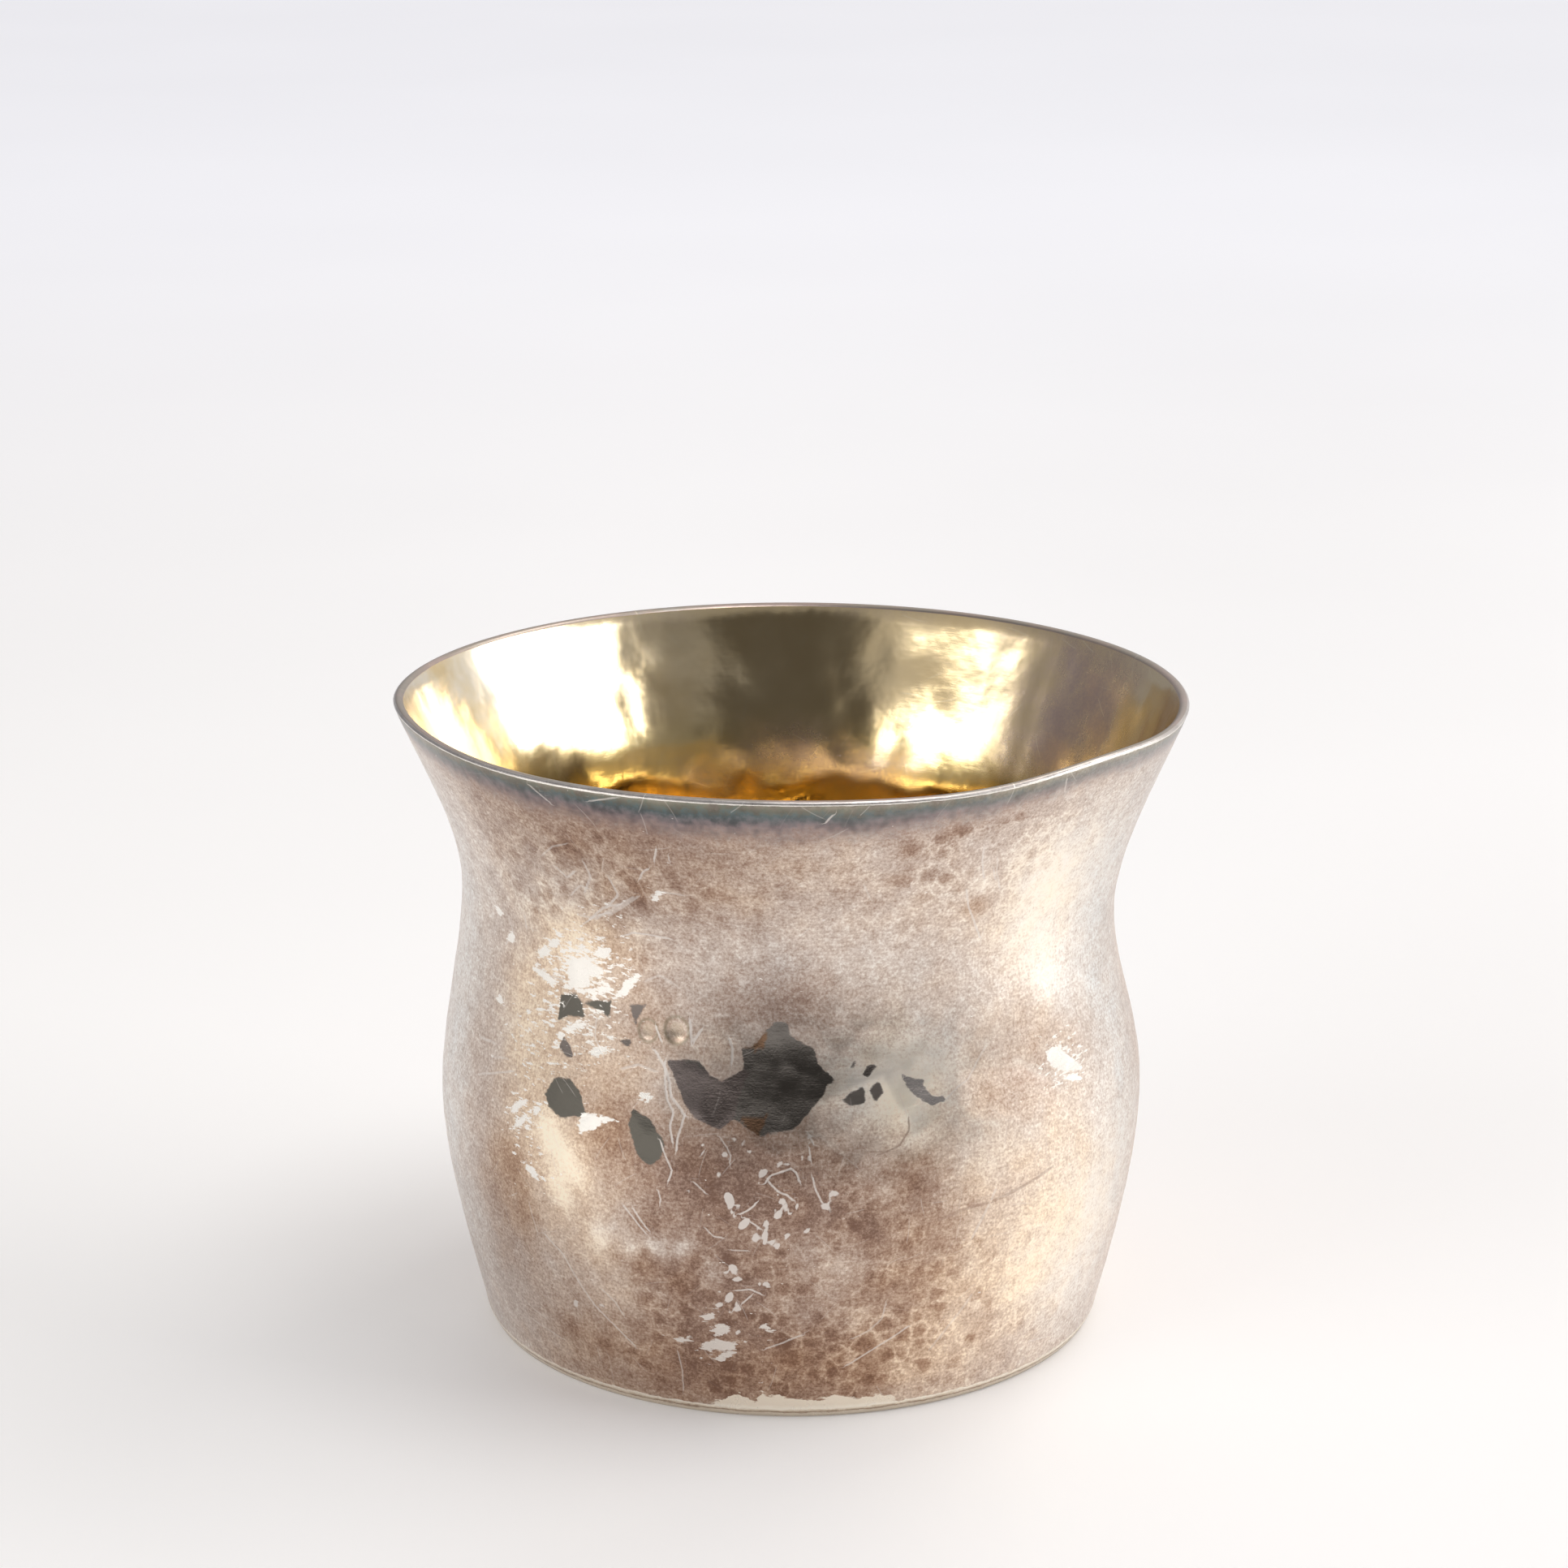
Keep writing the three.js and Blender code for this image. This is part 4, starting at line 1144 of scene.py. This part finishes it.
def bare_edge(wear):
    material, paint, shader = new_material("bare_edge")
    grain, polish, scratches = paint.wear(wear)
    worn = paint.noise(paint.place(), 260.0, 3.0, 0.6)
    colour = paint.ramp(paint.sway(worn, grain, 0.5), ((0.3, (0.50, 0.455, 0.43)), (0.7, (0.76, 0.71, 0.68))))
    colour = paint.blend(scratches, colour, (0.85, 0.82, 0.78))
    paint.feed(shader.inputs["Base Color"], colour)
    paint.feed(shader.inputs["Roughness"], paint.math("MULTIPLY_ADD", grain, 0.2, 0.22))
    paint.feed(shader.inputs["Normal"], paint.bump(paint.math("ADD", polish, grain), 0.4, 0.00005))
    return material


def gilding(wear):
    material, paint, shader = new_material("gilding")
    place = paint.place()
    grain, polish, scratches = paint.wear(wear)
    cloud = paint.noise(place, 120.0, 4.0, 0.6)
    gold = paint.ramp(cloud, ((0.3, (0.80, 0.625, 0.36)), (0.7, (0.87, 0.71, 0.45))))
    thin = paint.math("MULTIPLY", paint.surface("thin"), paint.fade(cloud, 0.25, 0.6))
    gold = paint.blend(thin, gold, (0.86, 0.81, 0.73))
    depth = paint.surface("below_lip")
    # Painted bounce light: deeper down, the gilding is a more saturated orange, the tint light gains between
    # the gilded walls
    gold = paint.blend(paint.fade(depth, 9.0, 16.0), gold, (0.87, 0.685, 0.34))
    # Stains darken the gilding to a purple-grey film; on the lip's rounding that darkening is a painted shade
    stain = paint.sway(paint.sway(paint.surface("stain"), cloud, 0.7), grain, 0.2)
    film = paint.ramp(stain, (
        (0.3, (0.58, 0.44, 0.36)),
        (0.5, (0.39, 0.30, 0.31)),
        (0.65, (0.28, 0.255, 0.245)),
        (0.85, (0.34, 0.37, 0.43)),
    ))
    share = paint.fade(stain, 0.12, 0.5, 0.0, 0.85)
    gold = paint.blend(share, gold, film)
    gold = paint.blend(paint.math("MULTIPLY", scratches, 0.3), gold, (0.95, 0.86, 0.66))
    rough = paint.math("MULTIPLY_ADD", share, 0.14, paint.math("MULTIPLY_ADD", cloud, 0.10, 0.13))
    rough = paint.math("MULTIPLY_ADD", paint.fade(depth, 13.0, 20.0), -0.1, rough)
    paint.feed(shader.inputs["Base Color"], gold)
    paint.feed(shader.inputs["Roughness"], rough)
    dents = paint.noise(place, 340.0, 2.0, 0.5)
    uneven = paint.math("MULTIPLY_ADD", grain, 0.04, paint.math("MULTIPLY_ADD", polish, 0.05, dents))
    paint.feed(shader.inputs["Normal"], paint.bump(uneven, 0.4, 0.00012))
    return material


def pale_tabletop():
    material, paint, shader = new_material("pale_tabletop")
    place = paint.place()
    cloud = paint.noise(place, 6.0, 2.0)
    colour = paint.ramp(cloud, ((0.3, (0.80, 0.79, 0.79)), (0.7, (0.83, 0.82, 0.82))))
    # The floor glows with painted light: brighter far away, and dimmer on the near right
    split = paint.add("SeparateXYZ")
    paint.feed(split.inputs[0], place)
    far = paint.fade(split.outputs["Y"], 0.05, 0.9)
    right = paint.fade(split.outputs["X"], -0.05, 0.12)
    near = paint.blend(right, (0.20, 0.195, 0.194), (0.09, 0.087, 0.089))
    glow = paint.blend(far, near, (0.38, 0.385, 0.425))
    paint.feed(shader.inputs["Base Color"], colour)
    paint.feed(shader.inputs["Emission Color"], glow)
    shader.inputs["Emission Strength"].default_value = 1.0
    shader.inputs["Roughness"].default_value = 0.5
    shader.inputs["Metallic"].default_value = 0.0
    return material


def add_floor():
    half = 4.0  # metres
    corners = ((-half, -half, 0), (half, -half, 0), (half, half, 0), (-half, half, 0))
    mesh = bpy.data.meshes.new("floor")
    mesh.from_pydata(corners, [], [(0, 1, 2, 3)])
    floor = bpy.data.objects.new("floor", mesh)
    floor.location.z = -0.05 * MM
    floor.data.materials.append(pale_tabletop())
    bpy.context.scene.collection.objects.link(floor)


def bearing(azimuth, elevation):
    """Direction from the cup. Azimuth runs from the front towards the right."""
    across, up = math.radians(azimuth), math.radians(elevation)
    return Vector((math.sin(across) * math.cos(up), -math.cos(across) * math.cos(up), math.sin(up)))


def softbox(name, azimuth, elevation, distance, width, height, brightness, colour):
    """A flat light that faces the middle of the cup."""
    middle = Vector((0.0, 0.0, 0.04))
    light = bpy.data.lights.new(name, "AREA")
    light.shape = "RECTANGLE"
    light.size, light.size_y = width, height
    light.energy = brightness * math.pi * width * height
    light.color = colour
    aim = bearing(azimuth, elevation)
    lamp = bpy.data.objects.new(name, light)
    lamp.location = middle + aim * distance
    lamp.rotation_euler = (-aim).to_track_quat("-Z", "Y").to_euler()
    bpy.context.scene.collection.objects.link(lamp)


def add_world():
    world = bpy.data.worlds.new("studio")
    bpy.context.scene.world = world
    world.use_nodes = True
    paint = Finish(world.node_tree)
    way = paint.add("TexCoord").outputs["Generated"]

    def towards(azimuth, elevation, inner, outer):
        """One within the inner angle of a direction, nothing past the outer one."""
        facing = paint.add("VectorMath", operation="DOT_PRODUCT")
        paint.feed(facing.inputs[0], way)
        facing.inputs[1].default_value = bearing(azimuth, elevation)
        edge, core = math.cos(math.radians(outer)), math.cos(math.radians(inner))
        return paint.fade(facing.outputs["Value"], edge, core)

    colour = ROOM_TONE
    for azimuth, elevation, inner, outer, tone in ROOM_PATCHES:
        colour = paint.blend(towards(azimuth, elevation, inner, outer), colour, tone)
    background = next(n for n in world.node_tree.nodes if n.type == "BACKGROUND")
    paint.feed(background.inputs["Color"], colour)
    background.inputs["Strength"].default_value = 1.0


def add_camera():
    camera = bpy.data.cameras.new("camera")
    camera.sensor_width = 36.0
    camera.lens = CAMERA_LENS
    camera.shift_x = CAMERA_SHIFT
    camera.clip_start = 0.01
    lens = bpy.data.objects.new("camera", camera)
    lens.location = (0.0, -CAMERA_FRONT * MM, CAMERA_HEIGHT * MM)
    lens.rotation_euler = (math.radians(90.0 - CAMERA_TILT), 0.0, 0.0)
    bpy.context.scene.collection.objects.link(lens)
    bpy.context.scene.camera = lens


add_camera()
add_floor()
add_world()
for light in LIGHTS:
    softbox(*light)
bpy.context.scene.view_settings.view_transform = "Standard"

cup = make_cup()
wear = worn_metal()
for finish in (tarnished_silver(wear), bare_edge(wear), gilding(wear)):
    cup.data.materials.append(finish)
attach(cup, "root")
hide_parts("cup")
